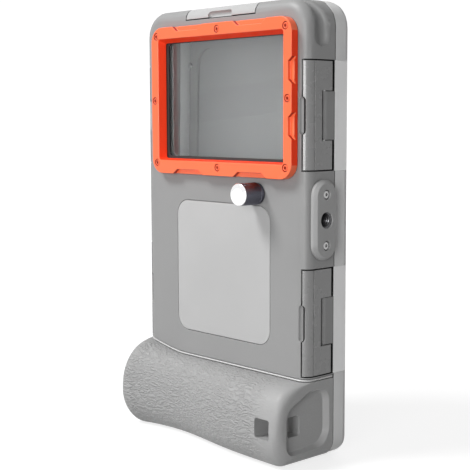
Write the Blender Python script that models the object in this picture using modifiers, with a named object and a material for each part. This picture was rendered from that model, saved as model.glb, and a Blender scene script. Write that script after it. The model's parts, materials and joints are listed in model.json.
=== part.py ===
# Diving housing for a phone, modelled upright: +Z up, camera window towards -Y, front door towards +Y
import math

import bmesh
import bpy
from mathutils import Matrix, Vector

for old in list(bpy.data.objects):
    bpy.data.objects.remove(old, do_unlink=True)

MM = 0.001

# Housing
BODY_WIDTH = 109.0 * MM
BODY_HEIGHT = 200.0 * MM
REAR_DEPTH = 17.4 * MM
DOOR_DEPTH = 9.7 * MM
TOP_CORNER = 12.0 * MM
BOTTOM_CORNER = 8.0 * MM
REAR_ROUND = 5.0 * MM
DOOR_ROUND = 3.5 * MM
REAR_WALL = 2.8 * MM
DOOR_WALL = 2.5 * MM
RIM_WIDTH = 10.5 * MM
BAY_BOTTOM = 14.5 * MM
BAY_CORNER = 5.0 * MM
BAY_STEP_INSET = 0.5 * MM
BAY_STEP_CORNER = 3.0 * MM
CAMERA_STEP = 1.2 * MM
CLEARANCE = 0.3 * MM
SCREW_PLAY = 0.2 * MM
OVERSHOOT = 10.0 * MM
SCOOP_DROP = 20.5 * MM
SCOOP_DEPTH = 3.2 * MM
SCOOP_WIDTH = 13.6 * MM
SCOOP_LAND = 1.6 * MM
SCOOP_RUN = 34.0 * MM
SCOOP_END = 5.8 * MM
SCOOP_DRIFT = 4.3 * MM
SCOOP_TAPER = 0.75
SCOOP_DEEPEST = 0.3

# Grip
GRIP_TOP = 36.8 * MM
GRIP_TOP_RISE = 4.6 * MM
GRIP_RISE_X = -29.0 * MM
GRIP_RISE_POWER = 1.3
GRIP_DEPTH = 17.4 * MM
GRIP_WAIST = 5.1 * MM
GRIP_WAIST_X = -22.9 * MM
GRIP_WAIST_SPREAD = 31.0 * MM
GRIP_FLARE = 5.8 * MM
GRIP_FLARE_SPREAD = 4.9 * MM
GRIP_BELLY_HEIGHT = 16.9 * MM
GRIP_BELLY_RISE = 2.0 * MM
GRIP_HEEL = 9.2 * MM
GRIP_FULLNESS = 0.8
GRIP_END_ROUND = 4.0 * MM
GRIP_FAR_ROUND = 6.5 * MM
GRIP_SIDE_WALL = 6.0 * MM
GRIP_FLOOR = 4.7 * MM
GRIP_BACK_INSET = 1.5 * MM
RECESS_DEPTH = 2.8 * MM
RECESS_CORNERS = ((-11.6 * MM, 5.0 * MM), (15.3 * MM, 6.2 * MM), (15.0 * MM, 32.4 * MM),
                  (2.5 * MM, 32.4 * MM), (-11.6 * MM, 25.5 * MM))
RECESS_RADII = (5.5 * MM, 9.0 * MM, 6.0 * MM, 7.0 * MM, 7.0 * MM)
TUNNEL_WIDTH = 8.8 * MM
TUNNEL_DEPTH = 7.0 * MM
TUNNEL_HEIGHT = 8.8 * MM
TUNNEL_BAR = 2.2 * MM
TUNNEL_BACK = -1.0 * MM
TUNNEL_CENTRE_Z = 17.6 * MM
PIPING_RADIUS = 0.45 * MM
PIPING_SINK = 0.5 * MM

# Camera window
BEZEL_LEFT = 10.0 * MM
BEZEL_RIGHT = 5.0 * MM
BEZEL_TOP_GAP = 7.9 * MM
BEZEL_HEIGHT = 68.6 * MM
BEZEL_BORDER = 5.0 * MM
BEZEL_PROUD = 4.1 * MM
BEZEL_CORNER = 7.0 * MM
BEZEL_EDGE = 0.5 * MM
NOTCH_DEPTH = 2.2 * MM
NOTCH_STEP = 1.7 * MM
FLANK_NOTCH_SLOPE = 1.9 * MM
RAIL_NOTCH_SLOPE = 3.0 * MM
GLASS_THICKNESS = 3.0 * MM
GLASS_LIP = 3.0 * MM
WINDOW_GASKET = 0.8 * MM
WINDOW_BOSS = 5.8 * MM
WINDOW_SEAT_LIP = 1.0 * MM
WINDOW_CORNER = 4.0 * MM
BEZEL_RAIL_LOW = 1.3 * MM
BEZEL_RAIL_HIGH = 0.5 * MM
FLANK_NOTCHES = (6.0 * MM, 17.4 * MM)
RAIL_NOTCHES = (10.3 * MM, 31.7 * MM)
BEZEL_SCREW_HEAD = 1.35 * MM
BEZEL_SCREW_HEIGHT = 1.1 * MM
BEZEL_SCREW_SINK = 0.1 * MM
BEZEL_SCREW_SHANK = 0.7 * MM
BEZEL_SCREW_LENGTH = 6.0 * MM
BEZEL_SOCKET = 0.6 * MM
BEZEL_SCREW_SIDE = 3.7 * MM
BEZEL_SCREW_TOP = 4.1 * MM
BEZEL_SCREW_LOW = 5.0 * MM
BEZEL_SCREW_STEP = 1.2 * MM
SOCKET_SHARE = 0.6

# Label panel
LABEL_LEFT = 24.0 * MM
LABEL_RIGHT = 22.0 * MM
LABEL_OVER_GRIP = 12.2 * MM
LABEL_UNDER_BEZEL = 12.5 * MM
LABEL_THICKNESS = 0.8 * MM
LABEL_CORNER = 7.0 * MM
LABEL_PROUD = 0.1 * MM

# Knob and key lever
KNOB_SIDE = 29.5 * MM
KNOB_UNDER_BEZEL = 7.0 * MM
KNOB_RADIUS = 5.05 * MM
KNOB_LENGTH = 11.9 * MM
KNOB_RIBS = 24
KNURL_CUT = 0.38 * MM
KNURL_TOP = 0.7 * MM
KNURL_BASE = 2.6 * MM
KNOB_CROWN = 2.7 * MM
SHAFT_RADIUS = 1.5 * MM
SHAFT_INNER_LENGTH = 3.6 * MM
GLAND_RADIUS = 3.0 * MM
GLAND_PROUD = 0.4 * MM
ORING_ROOM = 1.1 * MM
ORING_RADIUS = 0.4 * MM
ORING_Y = 1.3 * MM
ORING_PLAY = 0.2 * MM
CIRCLIP_THICKNESS = 0.5 * MM
CIRCLIP_WIDTH = 1.0 * MM
SPRING_WIRE = 0.22 * MM
SPRING_RADIUS = 4.0 * MM
SPRING_PITCH = 0.52 * MM
SPRING_TURNS = 2
LEVER_HUB = 3.2 * MM
LEVER_FINGER_RADIUS = 1.4 * MM
LEVER_THICKNESS = 1.2 * MM
LEVER_REACH_X = 16.8 * MM
LEVER_DROP = 12.5 * MM
LEVER_WIDTH = 4.0 * MM
LEVER_FINGER = 7.0 * MM

# Side mounting plate
PLATE_CENTRE_Y = 9.7 * MM
PLATE_WIDTH = 14.4 * MM
PLATE_SHARE = 0.257
PLATE_PROUD = 3.0 * MM
PLATE_CHAMFER = 1.1 * MM
PLATE_SCREW_MARGIN = 6.45 * MM
PLATE_SCREW_HEAD = 1.75 * MM
PLATE_SCREW_HEIGHT = 1.4 * MM
PLATE_SCREW_SINK = 0.5 * MM
PLATE_SCREW_SHANK = 1.0 * MM
PLATE_SCREW_LENGTH = 8.0 * MM
PLATE_SOCKET = 0.8 * MM
THREAD_RADIUS = 3.175 * MM
INSERT_RADIUS = 4.3 * MM
INSERT_DEPTH = 5.6 * MM
INSERT_SINK = 0.8 * MM

# Latches
LATCH_SHARE = 0.344
LATCH_OVER_GRIP = 1.6 * MM
LATCH_UNDER_TOP = 26.2 * MM
LEFT_LATCH_OVER_GRIP = 1.0 * MM
LEFT_LATCH_UNDER_TOP = 25.5 * MM
LATCH_OPEN = 110.0
LATCH_THICKNESS = 2.2 * MM
LATCH_PIVOT_IN = 2.4 * MM
LATCH_PIVOT_Y = 12.9 * MM
LATCH_TIP_IN = 3.0 * MM
LATCH_FRONT_Y = 15.8 * MM
LUG_LENGTH = 20.6 * MM
LUG_RADIUS = 1.95 * MM
LUG_NOTCH_Y = 9.4 * MM
SLOT_LENGTH = 16.0 * MM
SLOT_RADIUS = 1.75 * MM
STRIP_SINK = 0.5 * MM
LATCH_LINE_DEPTH = 0.35 * MM
LATCH_LINE_HALF = 0.25 * MM
PIN_PLAY = 0.2 * MM
PIN_RADIUS = 0.8 * MM
PIN_INSET = 3.3 * MM
POCKET_KNEE = 1.4 * MM
POCKET_RELIEF = 1.2 * MM

# Door hinge
HINGE_Z = 2.1 * MM
HINGE_RADIUS = 1.7 * MM
LEAF_DEPTH = 4.4 * MM
LEAF_GAP = 0.4 * MM
LEAF_ROOT = 1.0 * MM
HINGE_HALF_LENGTH = 30.0 * MM
DOOR_KNUCKLE_HALF = 14.0 * MM
HINGE_SWEEP = 3.2 * MM
HINGE_WEB_ROOT = 0.8 * MM
HINGE_PIN_RADIUS = 0.75 * MM

# Screen opening
SCREEN_SIDE = 17.5 * MM
SCREEN_BOTTOM = 24.3 * MM
SCREEN_TOP_GAP = 19.0 * MM
SCREEN_CORNER = 7.0 * MM
MEMBRANE_LIP = 2.3 * MM
MEMBRANE_THICKNESS = 0.6 * MM
FRAME_LIP = 5.1 * MM
FRAME_THICKNESS = 2.4 * MM
MEMBRANE_SCREW_HEAD = 1.1 * MM
MEMBRANE_SCREW_HEIGHT = 0.8 * MM
MEMBRANE_SCREW_SHANK = 0.5 * MM
MEMBRANE_SCREW_LENGTH = 4.6 * MM

# Seal and cushions
GASKET_RADIUS = 0.8 * MM
GASKET_INSET = 8.7 * MM
GASKET_DROP = 1.8 * MM
GASKET_CORNER = 6.0 * MM
GROOVE_HALF = 1.1 * MM
GROOVE_DEPTH = 1.8 * MM
GASKET_SQUEEZE = 0.1 * MM
CUSHION_LIFT = 1.2 * MM
CUSHION_THICKNESS = 4.0 * MM
CUSHION_DEPTH = 8.0 * MM
CUSHION_UNDER_LEVER = 20.9 * MM
CUSHION_ROUND = 1.2 * MM

# Worked out from the sizes above
HALF_WIDTH = BODY_WIDTH / 2
DOOR_BACK = REAR_DEPTH + CLEARANCE
DOOR_FRONT = DOOR_BACK + DOOR_DEPTH
BAY_HALF = HALF_WIDTH - RIM_WIDTH
BAY_TOP = BODY_HEIGHT - RIM_WIDTH
HINGE_Y = REAR_DEPTH + CLEARANCE / 2
CORE_HALF = HALF_WIDTH - GRIP_SIDE_WALL - CLEARANCE
CORE_BOTTOM = GRIP_FLOOR + CLEARANCE
GRIP_REACH = GRIP_DEPTH + GRIP_FLARE
BEZEL_WIDTH = BODY_WIDTH - BEZEL_LEFT - BEZEL_RIGHT
WINDOW_X = (BEZEL_LEFT - BEZEL_RIGHT) / 2
WINDOW_Z = BODY_HEIGHT - BEZEL_TOP_GAP - BEZEL_HEIGHT / 2
WINDOW_LOW = WINDOW_Z - BEZEL_HEIGHT / 2
WINDOW_HIGH = WINDOW_Z + BEZEL_HEIGHT / 2
LABEL_WIDTH = BODY_WIDTH - LABEL_LEFT - LABEL_RIGHT
LABEL_X = (LABEL_LEFT - LABEL_RIGHT) / 2
KNOB_X = HALF_WIDTH - KNOB_SIDE
KNOB_Z = WINDOW_LOW - KNOB_UNDER_BEZEL
SCREEN_WIDTH = BODY_WIDTH - 2 * SCREEN_SIDE
SCREEN_TOP = BODY_HEIGHT - SCREEN_TOP_GAP
SIDE_RUN = BODY_HEIGHT - LATCH_UNDER_TOP - GRIP_TOP - LATCH_OVER_GRIP
LATCH_LENGTH = LATCH_SHARE * SIDE_RUN
RIGHT_UPPER_Z = BODY_HEIGHT - LATCH_UNDER_TOP - LATCH_LENGTH / 2
RIGHT_LOWER_Z = GRIP_TOP + LATCH_OVER_GRIP + LATCH_LENGTH / 2
LEFT_UPPER_Z = BODY_HEIGHT - LEFT_LATCH_UNDER_TOP - LATCH_LENGTH / 2
LEFT_LOWER_Z = GRIP_TOP + GRIP_TOP_RISE + LEFT_LATCH_OVER_GRIP + LATCH_LENGTH / 2
PIN_LENGTH = LATCH_LENGTH - 2 * PIN_INSET
PLATE_HEIGHT = PLATE_SHARE * SIDE_RUN
PLATE_CENTRE_Z = (RIGHT_UPPER_Z + RIGHT_LOWER_Z) / 2
POCKET_LENGTH = LATCH_LENGTH + 2 * CLEARANCE

parts = bpy.data.collections.new("phone_housing")
cutters = bpy.data.collections.new("cutters")
bpy.context.scene.collection.children.link(parts)
bpy.context.scene.collection.children.link(cutters)


# Materials
def make_material(name, colour, roughness, metallic=0.0, alpha=1.0):
    material = bpy.data.materials.new(name)
    material.use_nodes = True
    shader = material.node_tree.nodes["Principled BSDF"]
    shader.inputs["Base Color"].default_value = (*colour, 1.0)
    shader.inputs["Roughness"].default_value = roughness
    shader.inputs["Metallic"].default_value = metallic
    shader.inputs["Alpha"].default_value = alpha
    material.diffuse_color = (*colour, alpha)
    return material


GREY = make_material("housing_grey", (0.36, 0.36, 0.36), 0.45)
LATCH_GREY = make_material("latch_grey", (0.31, 0.31, 0.31), 0.35)
RUBBER = make_material("grip_rubber", (0.40, 0.40, 0.40), 0.7)
PIPING = make_material("piping_grey", (0.62, 0.62, 0.62), 0.5)
ORANGE = make_material("bezel_orange", (1.0, 0.18, 0.06), 0.35)
LABEL = make_material("label_grey", (0.50, 0.50, 0.50), 0.4)
CHROME = make_material("bright_steel", (0.80, 0.80, 0.80), 0.12, 1.0)
STEEL = make_material("plain_steel", (0.62, 0.62, 0.62), 0.3, 1.0)
BRASS = make_material("dark_brass", (0.30, 0.24, 0.14), 0.35, 1.0)
GLASS = make_material("window_glass", (0.85, 0.90, 0.90), 0.03, 0.0, 0.35)
FILM = make_material("touch_film", (0.90, 0.92, 0.92), 0.15, 0.0, 0.35)
SEAL = make_material("black_seal", (0.03, 0.03, 0.03), 0.6)
SILICONE = make_material("cushion_silicone", (0.12, 0.12, 0.12), 0.7)


# The model's origin is the middle of its footprint, so every piece hangs on one empty
root = bpy.data.objects.new("housing_origin", None)
root.location = (-PLATE_PROUD / 2, 0.0, 0.0)
cutters.objects.link(root)


# Building blocks
def new_object(name, mesh_data, collection, parent, material=None):
    mesh = bpy.data.meshes.new(name)
    mesh_data.normal_update()
    mesh_data.to_mesh(mesh)
    mesh_data.free()
    item = bpy.data.objects.new(name, mesh)
    collection.objects.link(item)
    item.parent = parent
    if material is not None:
        mesh.materials.append(material)
    if collection is cutters:
        item.hide_render = True
        item.display_type = "WIRE"
    return item


def box_mesh(low, high):
    size = Vector(high) - Vector(low)
    centre = (Vector(high) + Vector(low)) / 2
    data = bmesh.new()
    place = Matrix.Translation(centre) @ Matrix.Diagonal((*size, 1.0))
    bmesh.ops.create_cube(data, size=1.0, matrix=place)
    return data


def box(name, low, high, collection=None, parent=None, material=None):
    return new_object(name, box_mesh(low, high), collection or cutters, parent or root, material)


def turned_to(axis):
    if axis == "X":
        return Matrix.Rotation(math.pi / 2, 4, "Y")
    if axis == "Y":
        return Matrix.Rotation(-math.pi / 2, 4, "X")
    return Matrix.Identity(4)


def cone_mesh(radius_low, radius_high, low, high, axis, sides, centre):
    data = bmesh.new()
    middle = {"X": Vector(((low + high) / 2, centre[0], centre[1])),
              "Y": Vector((centre[0], (low + high) / 2, centre[1])),
              "Z": Vector((centre[0], centre[1], (low + high) / 2))}[axis]
    bmesh.ops.create_cone(data, cap_ends=True, segments=sides, radius1=radius_low, radius2=radius_high,
                          depth=high - low, matrix=Matrix.Translation(middle) @ turned_to(axis))
    return data


def cylinder(name, radius, low, high, axis, centre, sides=20, collection=None, parent=None, material=None):
    data = cone_mesh(radius, radius, low, high, axis, sides, centre)
    return new_object(name, data, collection or cutters, parent or root, material)


def edges_along_y(data):
    return [e for e in data.edges if abs((e.verts[0].co - e.verts[1].co).normalized().y) > 0.99]


def edges_in_plane_y(data, y):
    return [e for e in data.edges if all(abs(v.co.y - y) < 1e-6 for v in e.verts)]


def rounded_slab(name, half_width, low_z, high_z, low_y, high_y, corner_top, corner_bottom, segments,
                 rear_round=0.0, front_round=0.0, rim_segments=4, centre_x=0.0,
                 collection=None, parent=None, material=None):
    data = box_mesh((centre_x - half_width, low_y, low_z), (centre_x + half_width, high_y, high_z))
    middle_z = (low_z + high_z) / 2
    for corner, upper in ((corner_top, True), (corner_bottom, False)):
        if corner > 0.0:
            chosen = [e for e in edges_along_y(data) if (e.verts[0].co.z > middle_z) == upper
                      and abs(abs(e.verts[0].co.x - centre_x) - half_width) < 1e-6]
            bmesh.ops.bevel(data, geom=chosen, offset=corner, segments=segments, profile=0.5, affect="EDGES")
    for amount, plane in ((rear_round, low_y), (front_round, high_y)):
        if amount > 0.0:
            bmesh.ops.bevel(data, geom=edges_in_plane_y(data, plane), offset=amount, segments=rim_segments,
                            profile=0.5, affect="EDGES")
    return new_object(name, data, collection or cutters, parent or root, material)


def outline_prism(name, points, low, high, axis, collection=None, parent=None, material=None,
                  corner_radii=None, segments=4):
    data = bmesh.new()
    orders = {"X": lambda a, b: (low, a, b), "Y": lambda a, b: (a, low, b), "Z": lambda a, b: (a, b, low)}
    order = orders[axis]
    corners = [data.verts.new(order(a, b)) for a, b in points]
    face = data.faces.new(corners)
    step = {"X": Vector((1, 0, 0)), "Y": Vector((0, 1, 0)), "Z": Vector((0, 0, 1))}[axis]
    grown = bmesh.ops.extrude_face_region(data, geom=[face], use_keep_orig=True)
    moved = [g for g in grown["geom"] if isinstance(g, bmesh.types.BMVert)]
    bmesh.ops.translate(data, verts=moved, vec=step * (high - low))
    bmesh.ops.recalc_face_normals(data, faces=data.faces)
    for index, radius in enumerate(corner_radii or []):
        spot = Vector(order(*points[index]))
        along = [e for e in data.edges if abs((e.verts[0].co - e.verts[1].co).normalized().dot(step)) > 0.99
                 and min((v.co - spot).length for v in e.verts) < 1e-7]
        if radius > 0.0:
            bmesh.ops.bevel(data, geom=along, offset=radius, offset_type="OFFSET", segments=segments,
                            profile=0.5, affect="EDGES")
    return new_object(name, data, collection or cutters, parent or root, material)


def loft(name, rings, collection=None, parent=None, material=None):
    data = bmesh.new()
    loops = []
    for ring in rings:
        corners = [data.verts.new(point) for point in ring]
        loops.append([data.edges.new((corners[i - 1], corners[i])) for i in range(len(corners))])
    for first, second in zip(loops, loops[1:]):
        bmesh.ops.bridge_loops(data, edges=first + second)
    for end in (loops[0], loops[-1]):
        bmesh.ops.contextual_create(data, geom=end)
    bmesh.ops.recalc_face_normals(data, faces=data.faces)
    return new_object(name, data, collection or cutters, parent or root, material)


def tube(name, points, radius, closed=False, resolution=2, collection=None, parent=None, material=None):
    curve = bpy.data.curves.new(name, "CURVE")
    curve.dimensions = "3D"
    curve.bevel_depth = radius
    curve.bevel_resolution = resolution
    curve.use_fill_caps = not closed
    spline = curve.splines.new("POLY")
    spline.points.add(len(points) - 1)
    for spot, point in zip(spline.points, points):
        spot.co = (*point, 1.0)
    spline.use_cyclic_u = closed
    item = bpy.data.objects.new(name, curve)
    (collection or cutters).objects.link(item)
    item.parent = parent or root
    if material is not None:
        curve.materials.append(material)
    return item


def combine(target, tool, operation):
    step = target.modifiers.new(tool.name, "BOOLEAN")
    step.operation = operation
    step.solver = "EXACT"
    step.object = tool


def cut(target, *tools):
    for tool in tools:
        combine(target, tool, "DIFFERENCE")


def join(target, *tools):
    for tool in tools:
        combine(target, tool, "UNION")


def shade_round(*items):
    for item in items:
        for face in item.data.polygons:
            face.use_smooth = True


def arc(centre, radius, start, end, steps):
    spread = [start + (end - start) * i / steps for i in range(steps + 1)]
    return [(centre[0] + radius * math.cos(a), centre[1] + radius * math.sin(a)) for a in spread]


def rounded_path(half_width, low_z, high_z, corner, steps):
    in_x = half_width - corner
    top = high_z - corner
    foot = low_z + corner
    corners = ((in_x, top), (-in_x, top), (-in_x, foot), (in_x, foot))
    path = []
    for quarter, centre in enumerate(corners):
        path += arc(centre, corner, quarter * math.pi / 2, (quarter + 1) * math.pi / 2, steps)
    return path


# Rear housing: the moulded half that carries the window, the knob, the latch pockets and the grip
rear_housing = rounded_slab("rear_housing", HALF_WIDTH, 0.0, BODY_HEIGHT, 0.0, REAR_DEPTH, TOP_CORNER,
                            BOTTOM_CORNER, 7, rear_round=REAR_ROUND, rim_segments=4,
                            collection=parts, material=GREY)


# The line where grip and housing meet, level but for its rise towards the left end
def grip_top(x):
    rise = min(max((GRIP_RISE_X - x) / (HALF_WIDTH + GRIP_RISE_X), 0.0), 1.0)
    return GRIP_TOP + GRIP_TOP_RISE * rise ** GRIP_RISE_POWER


def skirt_ring(x):
    top = grip_top(x) + PIPING_RADIUS + CLEARANCE
    near = -OVERSHOOT
    far = REAR_DEPTH + OVERSHOOT
    return [(x, near, near), (x, far, near), (x, far, top), (x, near, top)]


skirt_places = [-HALF_WIDTH - OVERSHOOT]
skirt_places += [-HALF_WIDTH + BODY_WIDTH * i / 14 for i in range(15)]
skirt_places += [HALF_WIDTH + OVERSHOOT]
skirt_cut = loft("skirt_cut", [skirt_ring(x) for x in skirt_places])
core = box("core", (-CORE_HALF, GRIP_BACK_INSET, CORE_BOTTOM), (CORE_HALF, REAR_DEPTH, GRIP_TOP + OVERSHOOT))
hinge_leaf = box("hinge_leaf", (-HINGE_HALF_LENGTH, REAR_DEPTH - LEAF_DEPTH, LEAF_GAP),
                 (HINGE_HALF_LENGTH, REAR_DEPTH, CORE_BOTTOM + LEAF_ROOT))
cut(rear_housing, skirt_cut)
join(rear_housing, core, hinge_leaf)

# Room for the phone: full height up to the window's boss, and deeper below it
bay_upper = rounded_slab("bay_upper", BAY_HALF, BAY_BOTTOM, BAY_TOP, WINDOW_BOSS, REAR_DEPTH + OVERSHOOT,
                         BAY_CORNER, BAY_CORNER, 3)
bay_lower = rounded_slab("bay_lower", BAY_HALF - BAY_STEP_INSET, BAY_BOTTOM + BAY_STEP_INSET,
                         WINDOW_LOW - CAMERA_STEP, REAR_WALL, WINDOW_BOSS + CAMERA_STEP, BAY_STEP_CORNER,
                         BAY_CORNER - BAY_STEP_INSET, 3)
cut(rear_housing, bay_upper, bay_lower)

# Seal groove around the mouth of the bay
groove_x = HALF_WIDTH - GASKET_INSET
groove_low = BAY_BOTTOM - GASKET_DROP
groove_high = BODY_HEIGHT - GASKET_INSET
groove_outer = rounded_slab("groove_outer", groove_x + GROOVE_HALF, groove_low - GROOVE_HALF,
                            groove_high + GROOVE_HALF, REAR_DEPTH - GROOVE_DEPTH, REAR_DEPTH + OVERSHOOT,
                            GASKET_CORNER + GROOVE_HALF, GASKET_CORNER + GROOVE_HALF, 4)
groove_island = rounded_slab("groove_island", groove_x - GROOVE_HALF, groove_low + GROOVE_HALF,
                             groove_high - GROOVE_HALF, REAR_DEPTH - GROOVE_DEPTH - OVERSHOOT,
                             REAR_DEPTH + 2 * OVERSHOOT, GASKET_CORNER - GROOVE_HALF,
                             GASKET_CORNER - GROOVE_HALF, 4)
cut(groove_outer, groove_island)
cut(rear_housing, groove_outer)
gasket_path = rounded_path(groove_x, groove_low, groove_high, GASKET_CORNER, 4)
gasket_y = REAR_DEPTH - GASKET_RADIUS + GASKET_SQUEEZE
main_gasket = tube("main_gasket", [(x, gasket_y, z) for x, z in gasket_path], GASKET_RADIUS, closed=True,
                   resolution=1, collection=parts, material=SEAL)

# Camera window: seat in the housing, glass, seal, orange frame and its eight screws
opening_half = BEZEL_WIDTH / 2 - BEZEL_BORDER
opening_low = WINDOW_LOW + BEZEL_BORDER + BEZEL_RAIL_LOW
opening_high = WINDOW_HIGH - BEZEL_BORDER - BEZEL_RAIL_HIGH
seat_half = opening_half + WINDOW_SEAT_LIP
seat_low = opening_low - WINDOW_SEAT_LIP
seat_high = opening_high + WINDOW_SEAT_LIP
hole_half = opening_half - GLASS_LIP
hole_low = seat_low + GLASS_LIP
hole_high = seat_high - GLASS_LIP
glass_y = WINDOW_GASKET + CLEARANCE
seat_depth = glass_y + GLASS_THICKNESS + CLEARANCE
hole_corner = WINDOW_CORNER - WINDOW_SEAT_LIP
window_seat = rounded_slab("window_seat", seat_half, seat_low, seat_high, -OVERSHOOT, seat_depth,
                           WINDOW_CORNER, WINDOW_CORNER, 3, centre_x=WINDOW_X)
window_hole = rounded_slab("window_hole", hole_half, hole_low, hole_high, 0.0, WINDOW_BOSS + OVERSHOOT,
                           hole_corner, hole_corner, 3, centre_x=WINDOW_X)
cut(rear_housing, window_seat, window_hole)
pane_half = seat_half - CLEARANCE
pane_low = seat_low + CLEARANCE
pane_high = seat_high - CLEARANCE
pane_corner = WINDOW_CORNER - CLEARANCE
window_glass = rounded_slab("window_glass", pane_half, pane_low, pane_high, glass_y,
                            glass_y + GLASS_THICKNESS, pane_corner, pane_corner, 3, centre_x=WINDOW_X,
                            collection=parts, material=GLASS)
window_gasket = rounded_slab("window_gasket", pane_half, pane_low, pane_high, 0.0, WINDOW_GASKET,
                             pane_corner, pane_corner, 3, centre_x=WINDOW_X, collection=parts,
                             material=SEAL)
gasket_hole = rounded_slab("gasket_hole", hole_half, hole_low, hole_high, -OVERSHOOT, OVERSHOOT,
                           WINDOW_CORNER / 2, WINDOW_CORNER / 2, 3, centre_x=WINDOW_X)
cut(window_gasket, gasket_hole)

window_bezel = rounded_slab("window_bezel", BEZEL_WIDTH / 2, WINDOW_LOW, WINDOW_HIGH, -BEZEL_PROUD,
                            -CLEARANCE, BEZEL_CORNER, BEZEL_CORNER, 5, rear_round=BEZEL_EDGE,
                            rim_segments=1, centre_x=WINDOW_X, collection=parts, material=ORANGE)
bezel_hole = box("bezel_hole", (WINDOW_X - opening_half, -OVERSHOOT, opening_low),
                 (WINDOW_X + opening_half, OVERSHOOT, opening_high))
cut(window_bezel, bezel_hole)


def notch_outline(start, end, edge, inward, slope):
    return [(start - slope, edge - inward), (end + slope, edge - inward),
            (end - slope, edge + inward), (start + slope, edge + inward)]


def cut_notch(points):
    notch = outline_prism("bezel_notch", points, -BEZEL_PROUD - OVERSHOOT, -BEZEL_PROUD + NOTCH_STEP, "Y")
    cut(window_bezel, notch)


# The rails have two notches each, and so has the flank beside the right latches
for end in (-1, 1):
    low, high = sorted(end * z for z in FLANK_NOTCHES)
    flank = notch_outline(low, high, WINDOW_X + BEZEL_WIDTH / 2, -NOTCH_DEPTH, FLANK_NOTCH_SLOPE)
    cut_notch([(b, a + WINDOW_Z) for a, b in flank])
    low, high = sorted(end * x for x in RAIL_NOTCHES)
    for rail_edge, inward in ((WINDOW_HIGH, -NOTCH_DEPTH), (WINDOW_LOW, NOTCH_DEPTH)):
        rail = notch_outline(low, high, rail_edge, inward, RAIL_NOTCH_SLOPE)
        cut_notch([(a + WINDOW_X, b) for a, b in rail])

corner_x = BEZEL_WIDTH / 2 - BEZEL_SCREW_SIDE
corner_up = BEZEL_HEIGHT / 2 - BEZEL_SCREW_TOP
corner_down = BEZEL_HEIGHT / 2 - BEZEL_SCREW_LOW
flank_x = BEZEL_WIDTH / 2 - BEZEL_BORDER / 2
screw_spots = [(-corner_x, corner_up), (0.0, corner_up + BEZEL_SCREW_STEP), (corner_x, corner_up),
               (flank_x, 0.0), (corner_x, -corner_down), (0.0, -corner_down - BEZEL_SCREW_STEP),
               (-corner_x, -corner_down), (-flank_x, 0.0)]


def screw(name, x, z, head_y, head_radius, head_height, shank_radius, length, sides, material, socket=0.0):
    spot = (x, z)
    item = cylinder(name, head_radius, head_y, head_y + head_height, "Y", spot, sides, parts, root, material)
    shank = cylinder(name + "_shank", shank_radius, head_y + head_height / 2, head_y + length, "Y", spot, 8)
    join(item, shank)
    if socket > 0.0:
        depth = head_height * SOCKET_SHARE
        cut(item, cylinder(name + "_socket", socket, head_y - OVERSHOOT, head_y + depth, "Y", spot, 6))
    return item


for number, (across, up) in enumerate(screw_spots, 1):
    x = WINDOW_X + across
    z = WINDOW_Z + up
    head_y = -BEZEL_PROUD + BEZEL_SCREW_SINK
    screw(f"bezel_screw_{number}", x, z, head_y, BEZEL_SCREW_HEAD, BEZEL_SCREW_HEIGHT, BEZEL_SCREW_SHANK,
          BEZEL_SCREW_LENGTH, 14, ORANGE, socket=BEZEL_SOCKET)
    head_hole = cylinder(f"head_hole_{number}", BEZEL_SCREW_HEAD + CLEARANCE, head_y - OVERSHOOT,
                         head_y + BEZEL_SCREW_HEIGHT + CLEARANCE, "Y", (x, z), 14)
    shank_hole = cylinder(f"shank_hole_{number}", BEZEL_SCREW_SHANK + SCREW_PLAY, -BEZEL_PROUD,
                          head_y + BEZEL_SCREW_LENGTH + CLEARANCE, "Y", (x, z), 8)
    cut(window_bezel, head_hole, shank_hole)
    cut(rear_housing, shank_hole)

# Label panel, let into the back
label_low = GRIP_TOP + LABEL_OVER_GRIP
label_high = WINDOW_LOW - LABEL_UNDER_BEZEL
label_floor = LABEL_THICKNESS - LABEL_PROUD
label_panel = rounded_slab("label_panel", LABEL_WIDTH / 2, label_low, label_high, -LABEL_PROUD, label_floor,
                           LABEL_CORNER, LABEL_CORNER, 4, centre_x=LABEL_X, collection=parts,
                           material=LABEL)
seat_corner = LABEL_CORNER + CLEARANCE
label_seat = rounded_slab("label_seat", LABEL_WIDTH / 2 + CLEARANCE, label_low - CLEARANCE,
                          label_high + CLEARANCE, -OVERSHOOT, label_floor + CLEARANCE, seat_corner,
                          seat_corner, 4, centre_x=LABEL_X)
cut(rear_housing, label_seat)


# Scoop over each top corner: a channel that starts narrow on the top, widens over the corner and ends round
# on the side. Its wall is steep next to the seam and runs out softly towards the rear
def surface_place(travel, side):
    up = SCOOP_DROP - TOP_CORNER
    turn = TOP_CORNER * math.pi / 2
    angle = min(max((travel - up) / TOP_CORNER, 0.0), math.pi / 2)
    outward = Vector((side * math.cos(angle), 0.0, math.sin(angle)))
    x = HALF_WIDTH - TOP_CORNER - max(travel - up - turn, 0.0)
    z = BODY_HEIGHT - TOP_CORNER - max(up - travel, 0.0)
    return Vector((side * x, 0.0, z)) + outward * TOP_CORNER, outward


def scoop_shape(share):
    if share > SCOOP_DEEPEST:
        return math.sqrt(1.0 - ((share - SCOOP_DEEPEST) / (1.0 - SCOOP_DEEPEST)) ** 2)
    return (1.0 + math.cos(math.pi * (SCOOP_DEEPEST - share) / (1.0 + SCOOP_DEEPEST))) / 2


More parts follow.
